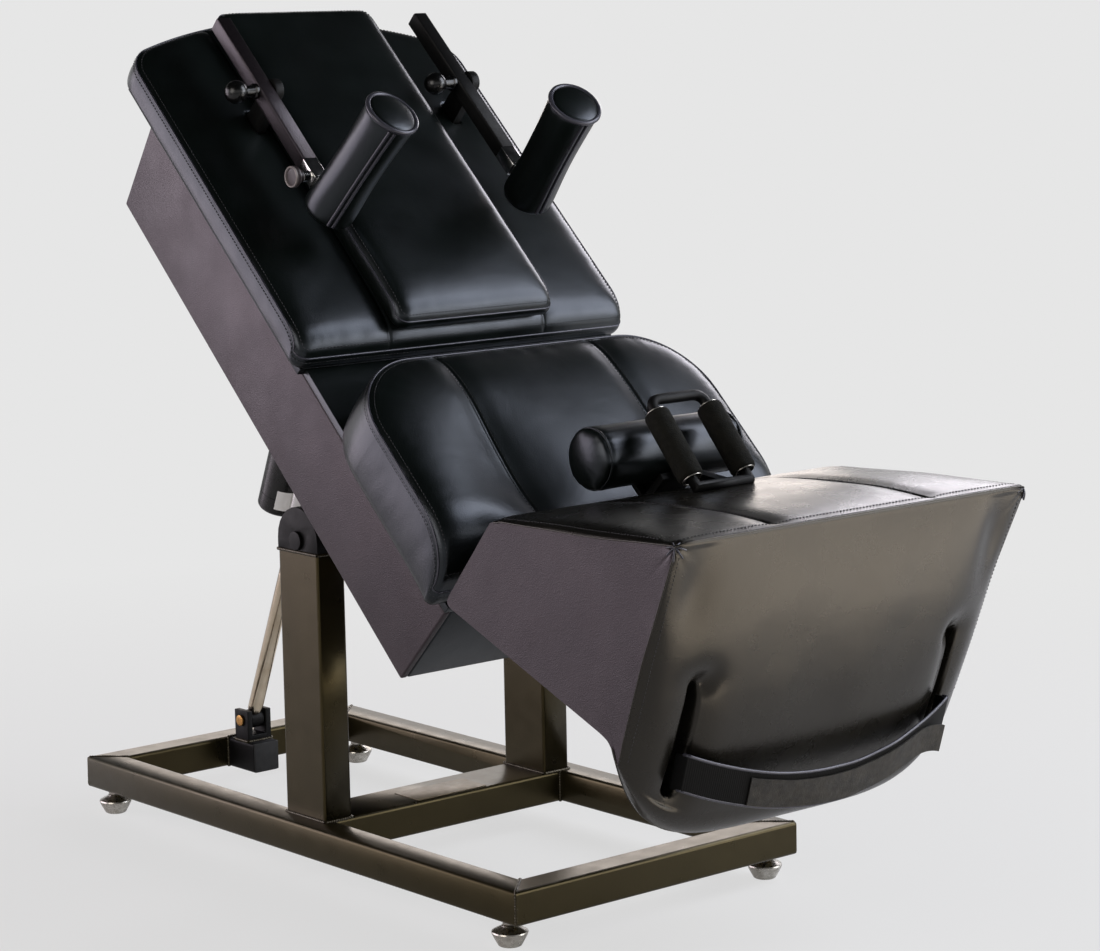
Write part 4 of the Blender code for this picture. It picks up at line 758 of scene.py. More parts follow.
def boxedPad(name, pad):
    x = pad["half"] * np.unique(np.concatenate([edgeSpread(pad["columns"], sewing["columnCrowd"]), besideSeams(pad)]))
    share = (edgeSpread(pad["rows"], sewing["rowCrowd"]) + 1) / 2
    foot, head = padFoot(pad, x), padHead(pad, x)
    s = foot[None, :] + (head - foot)[None, :] * share[:, None]
    xs = np.broadcast_to(x[None, :], s.shape)
    rows, columns = s.shape
    loop = [(0, c) for c in range(columns)] + [(r, columns - 1) for r in range(1, rows)]
    loop += [(rows - 1, c) for c in range(columns - 2, -1, -1)] + [(r, 0) for r in range(rows - 2, 0, -1)]
    edge = np.array([(xs[r, c], s[r, c]) for r, c in loop])
    ring = np.vstack([edge, edge[:1]])
    ahead = np.roll(edge, -1, axis=0) - np.roll(edge, 1, axis=0)
    ahead /= np.linalg.norm(ahead, axis=1)[:, None]
    outward = np.stack([ahead[:, 1], -ahead[:, 0]], axis=1)

    n = topLevels(pad, xs, s, foot, head, ring)
    seamN = seamLevel(pad, edge[:, 0], edge[:, 1], padFoot(pad, edge[:, 0]))
    for level, (r, c) in zip(seamN, loop):
        n[r, c] = level
    points = list(onTableAll(xs, s, n).reshape(-1, 3))
    faces = gridFaces(rows, columns)
    last = [r * columns + c for r, c in loop]
    for level in sewing["bandShares"]:
        rim = edge + outward * bandOffsets(pad, runAlong(ring), level)[:, None]
        band = range(len(points), len(points) + len(loop))
        points += list(onTableAll(rim[:, 0], rim[:, 1], seamN - level * (seamN - pad["foot"])))
        faces += ringFaces(last, band, flip=True)
        last = band
    faces.append(tuple(reversed(last)))
    piece = newPiece(name, points, [], faces)
    smoothOff(piece, 50)
    out = edge + outward * pad["pipeOut"]
    line = onTableAll(out[:, 0], out[:, 1], seamN + pad["pipeUp"])
    return piece, {"edge": edge, "outward": outward, "line": line, "level": seamN, "x": x, "s": s, "n": n}


def edgeStitches(name, seam, pad, inset, below=None):
    # a row of stitches beside the piping, on the top panel or below the seam on the band
    rim = seam["edge"] - seam["outward"] * inset
    x, s = rim[:, 0], rim[:, 1]
    if below is None:
        foot = padFoot(pad, x)
        level = seamLevel(pad, x, s, foot) + sewing["stitchLift"]
        level += pad["crown"] * crownRise(pad, x, s, foot, padHead(pad, x))
        normals = tuple(outOfTable)
    else:
        level = seam["level"] - below * np.minimum((seam["level"] - pad["foot"]) / sewing["lowBand"], 1)
        normals = onTableAll(seam["outward"][:, 0], seam["outward"][:, 1], 0.0) - np.array(tuple(table["pivot"]))
    stitches(name, onTableAll(x, s, level), normals, closed=True)


slit = {"width": 0.018, "length": 0.045, "depth": 0.20, "s": 0.558, "n": 0.30, "round": 0.003}


def cutSlit(piece, x):
    cutter = block("slit_cutter", (slit["width"], slit["length"], slit["depth"]),
                   onTable(x, slit["s"], slit["n"]), slit["round"], (table["tilt"], 0, 0))
    opening = piece.modifiers.new("slit", "BOOLEAN")
    opening.object = cutter
    opening.solver = "EXACT"
    applyAll(piece)
    bpy.data.objects.remove(cutter)


def sewnPad(name, pad):
    piece, seam = boxedPad(name + "_cushion", pad)
    for slitX in pad["slits"]:
        cutSlit(piece, slitX)
    finish(piece, "vinyl", "table")
    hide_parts(name + "_pad")
    # the piping's lighter grey is a painted highlight
    tubes(name + "_piping", [seam["line"]], pad["pipe"], "piping", "table", closed=True, roundness=2)
    edgeStitches(name + "_stitches", seam, pad, pad["topStitch"])
    if pad["bandStitch"]:
        edgeStitches(name + "_band_stitches", seam, pad, *pad["bandStitch"])
    return seam


mainPad = {
    "start": 0.115, "end": 0.722, "arch": 0.070, "footCorner": 0.018, "headCorner": 0.036, "half": 0.315,
    "foot": table["padFoot"], "seam": 0.3115, "crown": 0.0173, "flatTo": 0.150, "flatTop": 0.3256,
    "columns": 91, "rows": 101, "roll": 0.70, "rollRun": {"side": 0.014, "foot": 0.028, "head": 0.008},
    "softRun": 0.080, "pucker": 0.0012, "puckerRun": 0.020, "puckerStep": 0.022, "unevenness": 0.0006, "seed": 4.0,
    "seams": [0.150], "seamDip": 0.0020, "seamSpread": 0.012, "seamCrease": 0.0022,
    "belly": 0.0028, "tuck": 0.006, "crumple": 0.0010, "pipe": 0.0015, "pipeOut": 0.0004, "pipeUp": 0.0002,
    "dents": [(-0.171, 0.558, 0.004, 0.030), (0.212, 0.558, 0.004, 0.030)], "slits": (-0.1710, 0.2120),
    "fall": 0.020, "fallRun": 0.045, "fallFrom": -1.0, "fill": 0.85,
    "topStitch": 0.0065, "bandStitch": (-0.0022, 0.0065),
}
centrePad = {
    **mainPad,
    "start": 0.125, "end": 0.770, "arch": 0, "footCorner": 0.018, "headCorner": 0.018, "half": 0.149,
    "foot": 0.3261, "seam": 0.3510, "crown": 0.0199, "flatTo": 0,
    "columns": 61, "rows": 121, "rollRun": {"side": 0.009, "foot": 0.024, "head": 0.006},
    "softRun": 0.075, "pucker": 0.0007, "puckerStep": 0.018, "seed": 9.0, "seams": [],
    "belly": 0.0022, "tuck": 0.004, "crumple": 0.0007, "pipe": 0.0013, "dents": [], "slits": (),
    "fall": 0.010, "fallRun": 0.030, "fill": 0.9, "topStitch": 0.0055, "bandStitch": None,
}
seatPad = {
    **mainPad,
    "start": -0.326, "end": 0.034, "arch": 0, "footCorner": 0.009, "headCorner": 0.125, "half": 0.325,
    "seam": 0.3691, "crown": 0.024, "flatTo": 0,
    "columns": 111, "rows": 81, "roll": 0.55, "rollRun": {"side": 0.014, "foot": 0.014, "head": 0.026},
    "softRun": 0.070, "pucker": 0.0014, "puckerStep": 0.020, "seed": 15.0,
    "seams": [0.1475], "seamDip": 0.0040, "seamSpread": 0.020, "seamCrease": 0.0020,
    "belly": 0.0045, "tuck": 0.008, "crumple": 0.0009, "slits": (),
    "dents": [(-0.155, -0.12, 0.007, 0.060), (-0.155, -0.21, 0.016, 0.075), (0.155, -0.21, 0.006, 0.070)],
    "fall": 0.070, "fallRun": 0.095, "fallFrom": 0.16, "fill": 0.75,
    "topStitch": 0.0070, "bandStitch": (-0.0030, 0.0075),
    "seamRows": (("inner", -0.004), ("outer", 0.004)), "seamEnds": 4,
}
sewnPad("main_back", mainPad)
sewnPad("centre_back", centrePad)
seatSeam = sewnPad("seat", seatPad)
for side, sign in bothSides:
    along = seatSeam["s"][:, nearest(seatSeam["x"], sign * seatPad["seams"][0])]
    for row, aside in seatPad["seamRows"]:
        x = sign * (seatPad["seams"][0] + aside)
        line = onTableAll(x, along, seatSeam["n"][:, nearest(seatSeam["x"], x)])
        line = line[seatPad["seamEnds"]:-seatPad["seamEnds"]]
        stitches("seat_" + side + "_" + row + "_seam_stitches", line, tuple(outOfTable))
print("back and seat pads sewn")


# Knee block: one wrap of vinyl over its top, front and tongue, and two cheeks sewn on at the sides

knee = {
    "half": 0.329, "rear": -0.578, "front": -0.951, "top": 0.112, "rise": 0.010, "heel": (-0.462, -0.023),
    "keel": (-0.772, -0.150), "sideKeel": 1.045, "tongueFront": (-0.822, -0.315), "tongueBack": (-0.752, -0.328),
    "sideFront": (-0.815, -0.203), "sideBack": (-0.806, -0.168), "power": 5,
    "taper": 0.028, "taperDepth": 0.320, "taperEnd": 1.2,
    "rounds": (0.012, 0.009, 0.050, 0.040, 0.020, 0.016), "runs": (46, 112, 10, 22, 34, 18), "roundSteps": 8,
    "columns": 97, "crowd": 0.35, "apart": 0.0004, "pillow": 0.0085, "pillowRun": 0.034, "pillowSteps": 10,
    "crown": 0.013, "bulge": 0.018, "drawnIn": 0.0008, "cheekRipple": 0.0006, "rippleSize": 0.1,
    "cheekShares": (0.997, 0.990, 0.978, 0.96, 0.93, 0.88, 0.80, 0.68, 0.52, 0.34, 0.16),
    "seamX": 0.1475, "seamDip": 0.004, "seamSpread": 0.020, "seamCrease": 0.0022,
    "slotX": 0.2507, "slotHalf": 0.0070, "slotFlare": 0.0040, "slotDepth": 0.030, "slotEase": 0.0040,
    "slotTop": -0.080, "slotFoot": -0.238, "slotPull": 0.0110, "slotPullSpread": 0.028,
    "slotSteps": (
        0.028, 0.022, 0.017, 0.013, 0.0108, 0.0094, 0.0086, 0.0078, 0.0070, 0.0062, 0.0052, 0.0042, 0.002, 0),
    "gather": 0.009, "gatherAt": (0.014, 0.004), "gatherSpread": 0.016,
    "hollow": 0.0075, "hollowAt": (0.284, 0.045), "hollowSpread": (0.026, 0.055),
    # size across, folds along and seed of the slow unevenness
    "unevenness": 0.0026, "topWave": (0.09, 4, 3.3), "frontWave": (0.12, 3.5, 8.1),
    "pucker": 0.0046, "puckerFolds": 7, "puckerRun": 0.013, "puckerFrom": 0.006, "puckerReach": 0.12,
    "cornerLook": 0.58, "cornerDip": 0.005, "cornerRun": 0.008, "sewnEnd": 4, "sewnRun": 26,
}
kneeCrest = knee["top"] + knee["rise"]
# places on a ring of the wrap: the middle of its front top edge and of the tongue's rear edge
frontTop = knee["roundSteps"] + 1 + knee["runs"][0] + knee["roundSteps"] // 2
frontFoot = 3 * (knee["roundSteps"] + 1) + sum(knee["runs"][:3]) + knee["roundSteps"] // 2
# the cheeks are sewn to the top and the front, and below the front they run on into the tongue
ringPlaces = np.arange(sum(knee["runs"]) + len(knee["runs"]) * (knee["roundSteps"] + 1))
sewnShare = np.clip((frontFoot - knee["sewnEnd"] - ringPlaces) / knee["sewnRun"], 0, 1)
sewnShare *= np.clip(ringPlaces / knee["sewnEnd"], 0, 1)


def mixed(a, b, share):
    return (a[0] + (b[0] - a[0]) * share, a[1] + (b[1] - a[1]) * share)


def rounded(before, corner, after, radius, steps):
    # a curve that cuts a corner, never by more than 45% of its sides
    cut = min(radius, 0.45 * math.dist(before, corner), 0.45 * math.dist(after, corner))
    first = mixed(corner, before, cut / math.dist(before, corner))
    second = mixed(corner, after, cut / math.dist(after, corner))
    shares = np.linspace(0, 1, steps + 1)
    return [mixed(mixed(first, corner, t), mixed(corner, second, t), t) for t in shares]


def slotDepthAt(x, z):
    # how far the wrap is pulled in at a strap slot, by its distance from the slot's middle line
    low = knee["slotFoot"] + knee["slotHalf"]
    high = knee["slotTop"] - knee["slotHalf"]
    level = min(max(z, low), high)
    away = math.hypot(abs(x) - knee["slotX"], z - level)
    half = knee["slotHalf"] + knee["slotFlare"] * (high - level) / (high - low)
    wall = min(max((half + knee["slotEase"] - away) / (2 * knee["slotEase"]), 0), 1)
    wall = wall * wall * (3 - 2 * wall)
    pull = knee["slotPull"] * math.exp(-(away / knee["slotPullSpread"]) ** 2)
    # the vinyl is gathered beside the slot's top
    gather = math.hypot(abs(x) - knee["slotX"] + knee["gatherAt"][0], z - high - knee["gatherAt"][1])
    return knee["slotDepth"] * wall + pull + knee["gather"] * math.exp(-(gather / knee["gatherSpread"]) ** 2)


def tapered(x, z):
    # the block is a little narrower lower down
    depth = np.clip((kneeCrest - z) / knee["taperDepth"], 0, knee["taperEnd"])
    return x * (1 - knee["taper"] * depth)


def onKneeTop(x, a, z, share, arch):
    away = abs(abs(x) - knee["seamX"])
    size, folds, seed = knee["topWave"]
    z += arch ** 0.7 * knee["crown"] * (1 - abs(a) ** 6)
    z -= min(1, arch * 6) * knee["seamDip"] * math.exp(-(away / knee["seamSpread"]) ** 2)
    z -= min(1, arch * 8) * knee["seamCrease"] * math.exp(-(away / sewing["creaseRun"]) ** 2)
    return z + 0.5 * knee["unevenness"] * arch * wave(x / size, share * folds, seed)


def onKneeFront(x, a, y, z, share, arch):
    (hollowX, hollowZ), (spreadX, spreadZ) = knee["hollowAt"], knee["hollowSpread"]
    size, folds, seed = knee["frontWave"]
    y -= arch * knee["bulge"] * (1 - abs(a) ** 4)
    y += slotDepthAt(x, z)
    y += knee["hollow"] * math.exp(-((abs(x) - hollowX) / spreadX) ** 2 - ((z - hollowZ) / spreadZ) ** 2)
    return y + knee["unevenness"] * arch * wave(x / size, share * folds, seed)


def kneeLoop(x):
    # one ring of the wrap: six rounded corners and the runs between them
    a = x / knee["half"]
    weight = abs(a) ** knee["power"]
    corners = [
        (knee["rear"], knee["top"]), (knee["front"], kneeCrest),
        mixed(knee["tongueFront"], knee["sideFront"], weight),
        mixed(knee["tongueBack"], knee["sideBack"], weight),
        mixed(knee["keel"], mixed(knee["heel"], knee["keel"], knee["sideKeel"]), weight), knee["heel"],
    ]
    count = len(corners)
    bends = [rounded(corners[i - 1], corners[i], corners[(i + 1) % count], knee["rounds"][i], knee["roundSteps"])
             for i in range(count)]
    placed = []
    for i, bend in enumerate(bends):
        placed += [[tapered(x, z), y, z] for y, z in bend]
        for step in range(1, knee["runs"][i] + 1):
            share = step / (knee["runs"][i] + 1)
            arch = 4 * share * (1 - share)
            y, z = mixed(bend[-1], bends[(i + 1) % count][0], share)
            if i == 0:
                z = onKneeTop(x, a, z, share, arch)
            if i == 1:
                y = onKneeFront(x, a, y, z, share, arch)
            placed.append([tapered(x, z), y, z])
    # near the cheeks the wrap rounds over to the seam
    placed = np.array(placed)
    near = min(max((abs(x) - knee["half"] + knee["pillowRun"]) / knee["pillowRun"], 0), 1)
    inset = knee["pillow"] * (1 - math.sqrt(1 - near * near)) * sewnShare[:, None]
    inward = placed.mean(axis=0)[None, 1:] - placed[:, 1:]
    placed[:, 1:] += inward / np.linalg.norm(inward, axis=1)[:, None] * inset
    return placed


def kneeColumns():
    # where the rings stand: closer at the slots, the seams and the rounded sides
    half = knee["half"]
    marks = set(np.round(half * edgeSpread(knee["columns"], knee["crowd"]), 5))
    for sign in (-1, 1):
        for middle, steps in ((knee["slotX"], knee["slotSteps"]), (knee["seamX"], sewing["seamSteps"])):
            marks.update(round(sign * (middle + way * step), 5) for step in steps for way in (1, -1))
        for turn in np.linspace(0, math.pi / 2, knee["pillowSteps"]):
            marks.add(round(sign * (half - knee["pillowRun"] * (1 - math.sin(turn))), 5))
    kept = []
    for mark in sorted(marks):
        if not kept or mark - kept[-1] > knee["apart"]:
            kept.append(mark)
    return kept


def puckered(points, corner, sign):
    # folds that run out of a front top corner, where three panels meet
    look = np.array([sign * knee["cornerLook"], -knee["cornerLook"], knee["cornerLook"]])
    first = np.cross(look, [0, 0, 1.0])
    first /= np.linalg.norm(first)
    second = np.cross(look, first)
    away = points - corner
    reach = np.linalg.norm(away, axis=1)
    near = reach < knee["puckerReach"]
    away, reach = away[near], reach[near]
    angle = np.arctan2(away @ second, away @ first)
    lift = np.cos(knee["puckerFolds"] * angle) * np.exp(-reach / knee["puckerRun"])
    lift *= np.minimum(reach / knee["puckerFrom"], 1)
    points[near] += look[None, :] * (knee["pucker"] * lift)[:, None]
    points[near] -= look[None, :] * (knee["cornerDip"] * np.exp(-(reach / knee["cornerRun"]) ** 2))[:, None]


def buildKnee():
    pivot = np.array(tuple(table["pivot"]))
    columns = kneeColumns()
    rings = np.array([kneeLoop(x) for x in columns])
    count = rings.shape[1]
    points = list(rings.reshape(-1, 3))
    faces, covers = [], []
    for start in range(0, (len(columns) - 1) * count, count):
        faces += ringFaces(range(start, start + count), range(start + count, start + 2 * count))
        covers += [0 if k < frontFoot else 1 for k in range(count)]
    for index, sign in ((0, -1), (len(columns) - 1, 1)):
        ring = rings[index]
        middle = ring.mean(axis=0)
        last = range(index * count, (index + 1) * count)
        for share in knee["cheekShares"]:
            place = middle + (ring - middle) * share
            place[:, 0] = sign * (tapered(knee["half"], place[:, 2]) - knee["drawnIn"] * (1 - share ** 2))
            for k in range(count):
                ripple = wave(place[k, 1] / knee["rippleSize"], place[k, 2] / knee["rippleSize"], 5.5 + sign)
                place[k, 0] += sign * knee["cheekRipple"] * min(1, (1 - share) * 6) * ripple
            inner = range(len(points), len(points) + count)
            points += list(place)
            faces += ringFaces(last, inner)
            last = inner
        hub = len(points)
        points.append((sign * (tapered(knee["half"], middle[2]) - knee["drawnIn"]), middle[1], middle[2]))
        faces += [(last[k], last[(k + 1) % count], hub) for k in range(count)]
        covers += [1] * (count * (len(knee["cheekShares"]) + 1))
    points = np.array(points)
    puckered(points, rings[0, frontTop], -1)
    puckered(points, rings[-1, frontTop], 1)
    piece = newPiece("knee_cushion", points + pivot, [], faces)
    # the wrap's knee vinyl is painted lighter and warmer as a painted reflection; the cheeks' panel vinyl has a
    # lighter tone that is painted light
    for kind in ("kneeVinyl", "panel"):
        piece.data.materials.append(finishes[kind][1])
    piece.data.polygons.foreach_set("material_index", covers)
    closeUp(piece, 1e-6)
    smoothOff(piece, 75)
    return piece, rings + pivot, np.array(columns)


kneeBlock, kneeRings, kneeX = buildKnee()
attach(kneeBlock, "table")
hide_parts("knee_pad")

kneeSeam = {
    "pipe": 0.0013, "topStitch": 5, "sideStitch": 0.0075, "sideEnds": 4, "ends": 8, "tongueEnd": 26, "rearEnd": 12,
    "rows": (("inner", -0.0035), ("outer", 0.0035)),
}
# the gathered corner where three seams meet
star = {"threads": 7, "reach": 0.013, "rise": 0.0034, "dip": 0.0058, "thread": 0.0013, "sunk": 0.0022, "turned": 0.3}
topRow = kneeRings[kneeSeam["sideEnds"]:-kneeSeam["sideEnds"], frontTop - kneeSeam["topStitch"]]
stitches("knee_top_edge_stitches", topRow, (0, -0.15, 1))
# the front panel's seam runs down one side, under the tongue, up the other side and back along the top
frontSeam = [*kneeRings[0, frontTop:frontFoot], *kneeRings[:-1, frontFoot]]
frontSeam += [*kneeRings[-1, frontFoot:frontTop:-1], *kneeRings[:0:-1, frontTop]]
tubes("knee_front_seam", [frontSeam], kneeSeam["pipe"], "kneeVinyl", "table", closed=True, roundness=2)
frontEnd, topEnd = frontFoot - kneeSeam["tongueEnd"], frontTop - kneeSeam["ends"]
for side, sign in bothSides:
    edge = kneeRings[0 if sign < 0 else -1]
    tubes("knee_" + side + "_cheek_seam", [edge[2:frontTop]], kneeSeam["pipe"], "kneeVinyl", "table", roundness=2)
    beside = kneeRings[nearest(kneeX, sign * (knee["half"] - kneeSeam["sideStitch"]))]
    front, top = beside[frontTop + kneeSeam["ends"]:frontEnd], beside[kneeSeam["ends"]:topEnd]
    stitches("knee_" + side + "_front_stitches", front, (sign * 0.4, -1, 0.1))
    stitches("knee_" + side + "_top_edge_stitches", top, (sign * 0.4, 0, 1))
    corner = Vector(edge[frontTop]) - Vector((sign, -1, 1)) * star["sunk"]
    look = Vector((sign, -1, 1)).normalized()
    first = look.orthogonal().normalized()
    second = look.cross(first)
    for index in range(star["threads"]):
        turn = fullTurn * index / star["threads"] + star["turned"]
        way = first * math.cos(turn) + second * math.sin(turn)
        reach = star["reach"] * (1 + 0.3 * wave(index * 1.7, sign, 4.4))
        line = [corner + way * reach * t + look * star["rise"] * (1 - t * t) - look * star["dip"] * t * t
                for t in np.linspace(0.05, 1, 7)]
        # the corner threads take the piping vinyl, whose lighter grey is a painted highlight
        tubes("knee_" + side + "_corner_thread_" + str(index), [line], star["thread"], "piping", "table")
    for row, aside in kneeSeam["rows"]:
        ring = kneeRings[nearest(kneeX, sign * (knee["seamX"] + aside))]
        stitches("knee_" + side + "_" + row + "_top_stitches", ring[kneeSeam["rearEnd"]:topEnd], (0, 0, 1))
print("knee block sewn:", len(kneeBlock.data.polygons), "faces")


# Leg strap, from slot to slot

strap = {
    "half": 0.2475, "width": 0.052, "thick": 0.0034, "middle": -0.206, "sag": 0.054, "off": 0.011, "stand": 0.040,
    "tuck": 0.016, "pieces": 96, "rows": 9, "reach": 1.6, "hem": 0.0023, "hemReach": 1.2, "hemPieces": 90,
    "lean": math.atan2(knee["tongueFront"][0] - knee["front"], kneeCrest - knee["tongueFront"][1]),
    "ripple": 0.0015, "flutter": 0.0020, "freeRun": 0.24, "freeLift": 0.010, "freeDrop": 0.021,
}
outerLayer = {
    "first": -0.60, "last": 0.945, "pieces": 72, "low": -0.96, "high": 0.62, "lift": 0.0036, "thick": 0.0022,
    "free": 0.70,
}


def frontLine(z):
    share = (kneeCrest - z) / (kneeCrest - knee["tongueFront"][1])
    return knee["front"] + (knee["tongueFront"][0] - knee["front"]) * share


def strapPlace(share, level, lift=0.0, free=None):
    # share runs from slot to slot and past 1 into a slot; level runs across the width.
    # A free end leaves the band beyond its share and hangs down a little.
    pivot = table["pivot"]
    loose = 0.0 if free is None else max(share - free, 0) / strap["freeRun"]
    inside = max(abs(share) - 1, 0) if free is None else 0.0
    x = share * strap["half"] if free is not None else min(max(share, -1), 1) * strap["half"]
    share = min(max(share, -1), 1)
    slack = 1 - share ** 2
    bend = math.sin(min(inside, 1) * math.pi / 2)
    stand = strap["stand"] * slack + strap["off"] + lift - bend * (strap["off"] + strap["tuck"])
    stand += strap["freeLift"] * loose ** 2
    z = strap["middle"] - strap["sag"] * slack + level * strap["width"] / 2 * math.cos(strap["lean"])
    z += strap["ripple"] * slack * wave(share * 4, level, 2.2) - strap["freeDrop"] * loose ** 2
    stand += strap["flutter"] * slack * wave(share * 5, level * 0.7, 6.1)
    return Vector((x, pivot.y + frontLine(z) - stand, pivot.z + z))


def ribbon(name, first, last, pieces, levels, thick, kind, lift=0.0, free=None):
    shares = [first + (last - first) * i / pieces for i in range(pieces + 1)]
    points = [strapPlace(share, level, lift, free) for share in shares for level in levels]
    return sheet(name, points, len(levels), thick, 0, kind, "table")


webbing = ribbon("leg_strap_band", -strap["reach"], strap["reach"], strap["pieces"],
                 np.linspace(-1, 1, strap["rows"]), strap["thick"], "webbing")
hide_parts("leg_strap")
for name, level in (("leg_strap_top_hem", 1.0), ("leg_strap_foot_hem", -1.0)):
    shares = np.linspace(-strap["hemReach"], strap["hemReach"], strap["hemPieces"])
    # the hems take the piping vinyl, whose lighter grey is a painted highlight
    tubes(name, [[strapPlace(share, level) for share in shares]], strap["hem"], "piping", "table")
# the outer layer closes on the band with hooks and loops, and its end hangs free at the right
ribbon("leg_strap_outer_layer", outerLayer["first"], outerLayer["last"], outerLayer["pieces"],
       np.linspace(outerLayer["low"], outerLayer["high"], strap["rows"]), outerLayer["thick"], "hooks",
       outerLayer["lift"], outerLayer["free"])
print("leg strap made")


# Bolster, hand grips and underarm posts

def wrapped(name, middle, axis, profile, sides, ripple, kind, body):
    # a lathe form whose surface ripples round and along, as gathered vinyl does
    axis = Vector(axis).normalized()
    first = axis.orthogonal().normalized()
    second = axis.cross(first)
    points, faces = [], []
    for radius, height in profile:
        for k in range(sides):
            angle = fullTurn * k / sides
            r = radius + (ripple(angle, height, radius) if radius > 0 else 0)
            points.append(Vector(middle) + axis * height + (first * math.cos(angle) + second * math.sin(angle)) * r)
    for start in range(0, len(points) - sides, sides):
        faces += ringFaces(range(start, start + sides), range(start + sides, start + 2 * sides), flip=True)
    return completed(newPiece(name, points, [], faces), kind, body, 60)


bolster = {
    "s": -0.2777, "n": 0.4987, "radius": 0.0450, "length": 0.280, "end": 0.016, "sides": 96,
    "gather": 0.0034, "gatherRun": 0.014, "gatherFolds": 3.2, "pinch": -0.0022, "pinchRun": 0.0035, "pinchFrom": 0.04,
    "slack": 0.0007, "slackSize": 0.05, "pipe": 0.0017, "pipeIn": 0.0014,
}
bolsterShoulder = bolster["length"] / 2 - bolster["end"]


def bolsterProfile():
    radius, end = bolster["radius"], bolster["end"]
    profile = [(radius * math.sin(t), bolsterShoulder + end * math.cos(t)) for t in np.linspace(0, math.pi / 2, 13)]
    profile += [(radius, h) for h in np.linspace(bolsterShoulder - 0.004, 0, 20)]
    return profile + [(r, -h) for r, h in reversed(profile[:-1])]


def bolsterRipple(angle, height, radius):
    away = abs(height) - bolsterShoulder
    across, up = math.cos(angle), math.sin(angle)
    folds, seed = bolster["gatherFolds"], 4.4 + math.copysign(3, height)
    fold = bolster["gather"] * math.exp(-abs(away) / bolster["gatherRun"]) * wave(across * folds, up * folds, seed)
    slack = bolster["slack"] * wave(across * 2, height / bolster["slackSize"] + up * 2, 1.7)
    pinch = bolster["pinch"] * math.exp(-(away / bolster["pinchRun"]) ** 2)
    return (fold + slack) * min(radius / bolster["radius"], 1) + pinch * (radius > bolster["pinchFrom"])


bolsterMiddle = onTable(0, bolster["s"], bolster["n"])
roll = wrapped("bolster_cushion", bolsterMiddle, (1, 0, 0), bolsterProfile(), bolster["sides"], bolsterRipple,
               "vinyl", "table")
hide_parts("bolster")
for side, sign in bothSides:
    reach = bolster["radius"] - bolster["pipeIn"]
    ring = [bolsterMiddle + Vector((sign * bolsterShoulder, math.cos(t) * reach, math.sin(t) * reach))
            for t in np.linspace(0, fullTurn, 64, endpoint=False)]
    tubes("bolster_" + side + "_piping", [ring], bolster["pipe"], "vinyl", "table", closed=True, roundness=2)

grip = {
    "footS": -0.3888, "footN": 0.5690, "headS": -0.2674, "headN": 0.5805, "x": 0.050, "length": 0.120, "off": 0.0005,
    "radius": 0.0188, "barrel": 0.016, "barrelSteps": 12, "sides": 40, "ripple": 0.0004, "rippleFrom": 0.015,
    "end": [(0.0083, 0.004), (0.0148, 0.004), (0.0176, 0.0055), (0.0188, 0.009)],
    "ring": 0.0142, "ringEnd": 0.0038, "ringWide": 0.0010, "ringHigh": 0.0009, "ringUp": 0.0004,
}
gripWay = (onTable(0, grip["headS"], grip["headN"]) - onTable(0, grip["footS"], grip["footN"])).normalized()


def gripRipple(angle, height, radius):
    if radius <= grip["rippleFrom"]:
        return 0
    return grip["ripple"] * wave(math.cos(angle) * 1.5, height / 0.02, 2.9 + math.sin(angle))


def leftGrip():
    foot = onTable(-grip["x"], grip["footS"], grip["footN"]) + gripWay * grip["off"]
    radius, length = grip["radius"], grip["length"]
    barrel = np.linspace(grip["barrel"], length - grip["barrel"], grip["barrelSteps"])
    profile = grip["end"] + [(radius, h) for h in barrel]
    profile += raised(reversed(grip["end"]), length, -1) + grip["end"][:1]
    sleeve = wrapped("left_grip_foam", foot, gripWay, profile, grip["sides"], gripRipple, "foam", "table")
    # a wire ring holds the foam at each end
    rings = {}
    for end, start, flip in (("foot", grip["ringEnd"], -1), ("head", length - grip["ringEnd"], 1)):
        rim = [(grip["ring"] + grip["ringWide"] * math.cos(t),
                flip * (grip["ringUp"] + grip["ringHigh"] * math.sin(t))) for t in np.linspace(0, fullTurn, 13)]
        rings[end] = lathe("left_grip_" + end + "_ring", rim, foot + gripWay * start, gripWay, "zinc", "table",
                           grip["sides"], 50)
    return sleeve, rings


leftSleeve, leftRings = leftGrip()
gripShift = (2 * grip["x"], 0, 0)
rightSleeve = again(leftSleeve, "right_grip_foam", gripShift, "foam", "table")
for end, ring in leftRings.items():
    again(ring, "right_grip_" + end + "_ring", gripShift, "zinc", "table")
for side, sleeve in (("left", leftSleeve), ("right", rightSleeve)):
    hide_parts(side + "_hand_grip")

post = {
    "s": 0.320, "foot": 0.379, "head": 0.588, "radius": 0.040, "lean": math.radians(5), "waist": 0.0026, "sides": 72,
    "railX": 0.1915, "railN": 0.396, "waistFrom": 0.018, "waistEnd": 0.012, "waistSteps": 22,
    "base": [(0, 0), (0.0320, 0), (0.0372, 0.0008), (0.0394, 0.004), (0.040, 0.010)],
    "groove": [(0.0392, 0.007), (0.0378, 0.0045), (0.0378, 0.003), (0.0370, 0.0012)],
    "dome": [(0.0320, 0.0006), (0.0200, 0.0022), (0.0080, 0.0030), (0, 0.0032)],
    "folds": 0.0008, "foldAt": (0.19, 0.01), "foldRun": 0.03, "slack": 0.0006, "rippleFrom": 0.03,
    "pipe": 0.0040, "pipeDown": 0.0035, "pipeIn": 0.0004,
    "lap": 0.0024, "lapTurn": 0.10, "lapOff": 0.0004, "lapEnds": (0.006, 0.008), "lapSteps": 30,
    "laps": {"left": (-0.46, -0.89), "right": (-0.08, -1.0)},
}


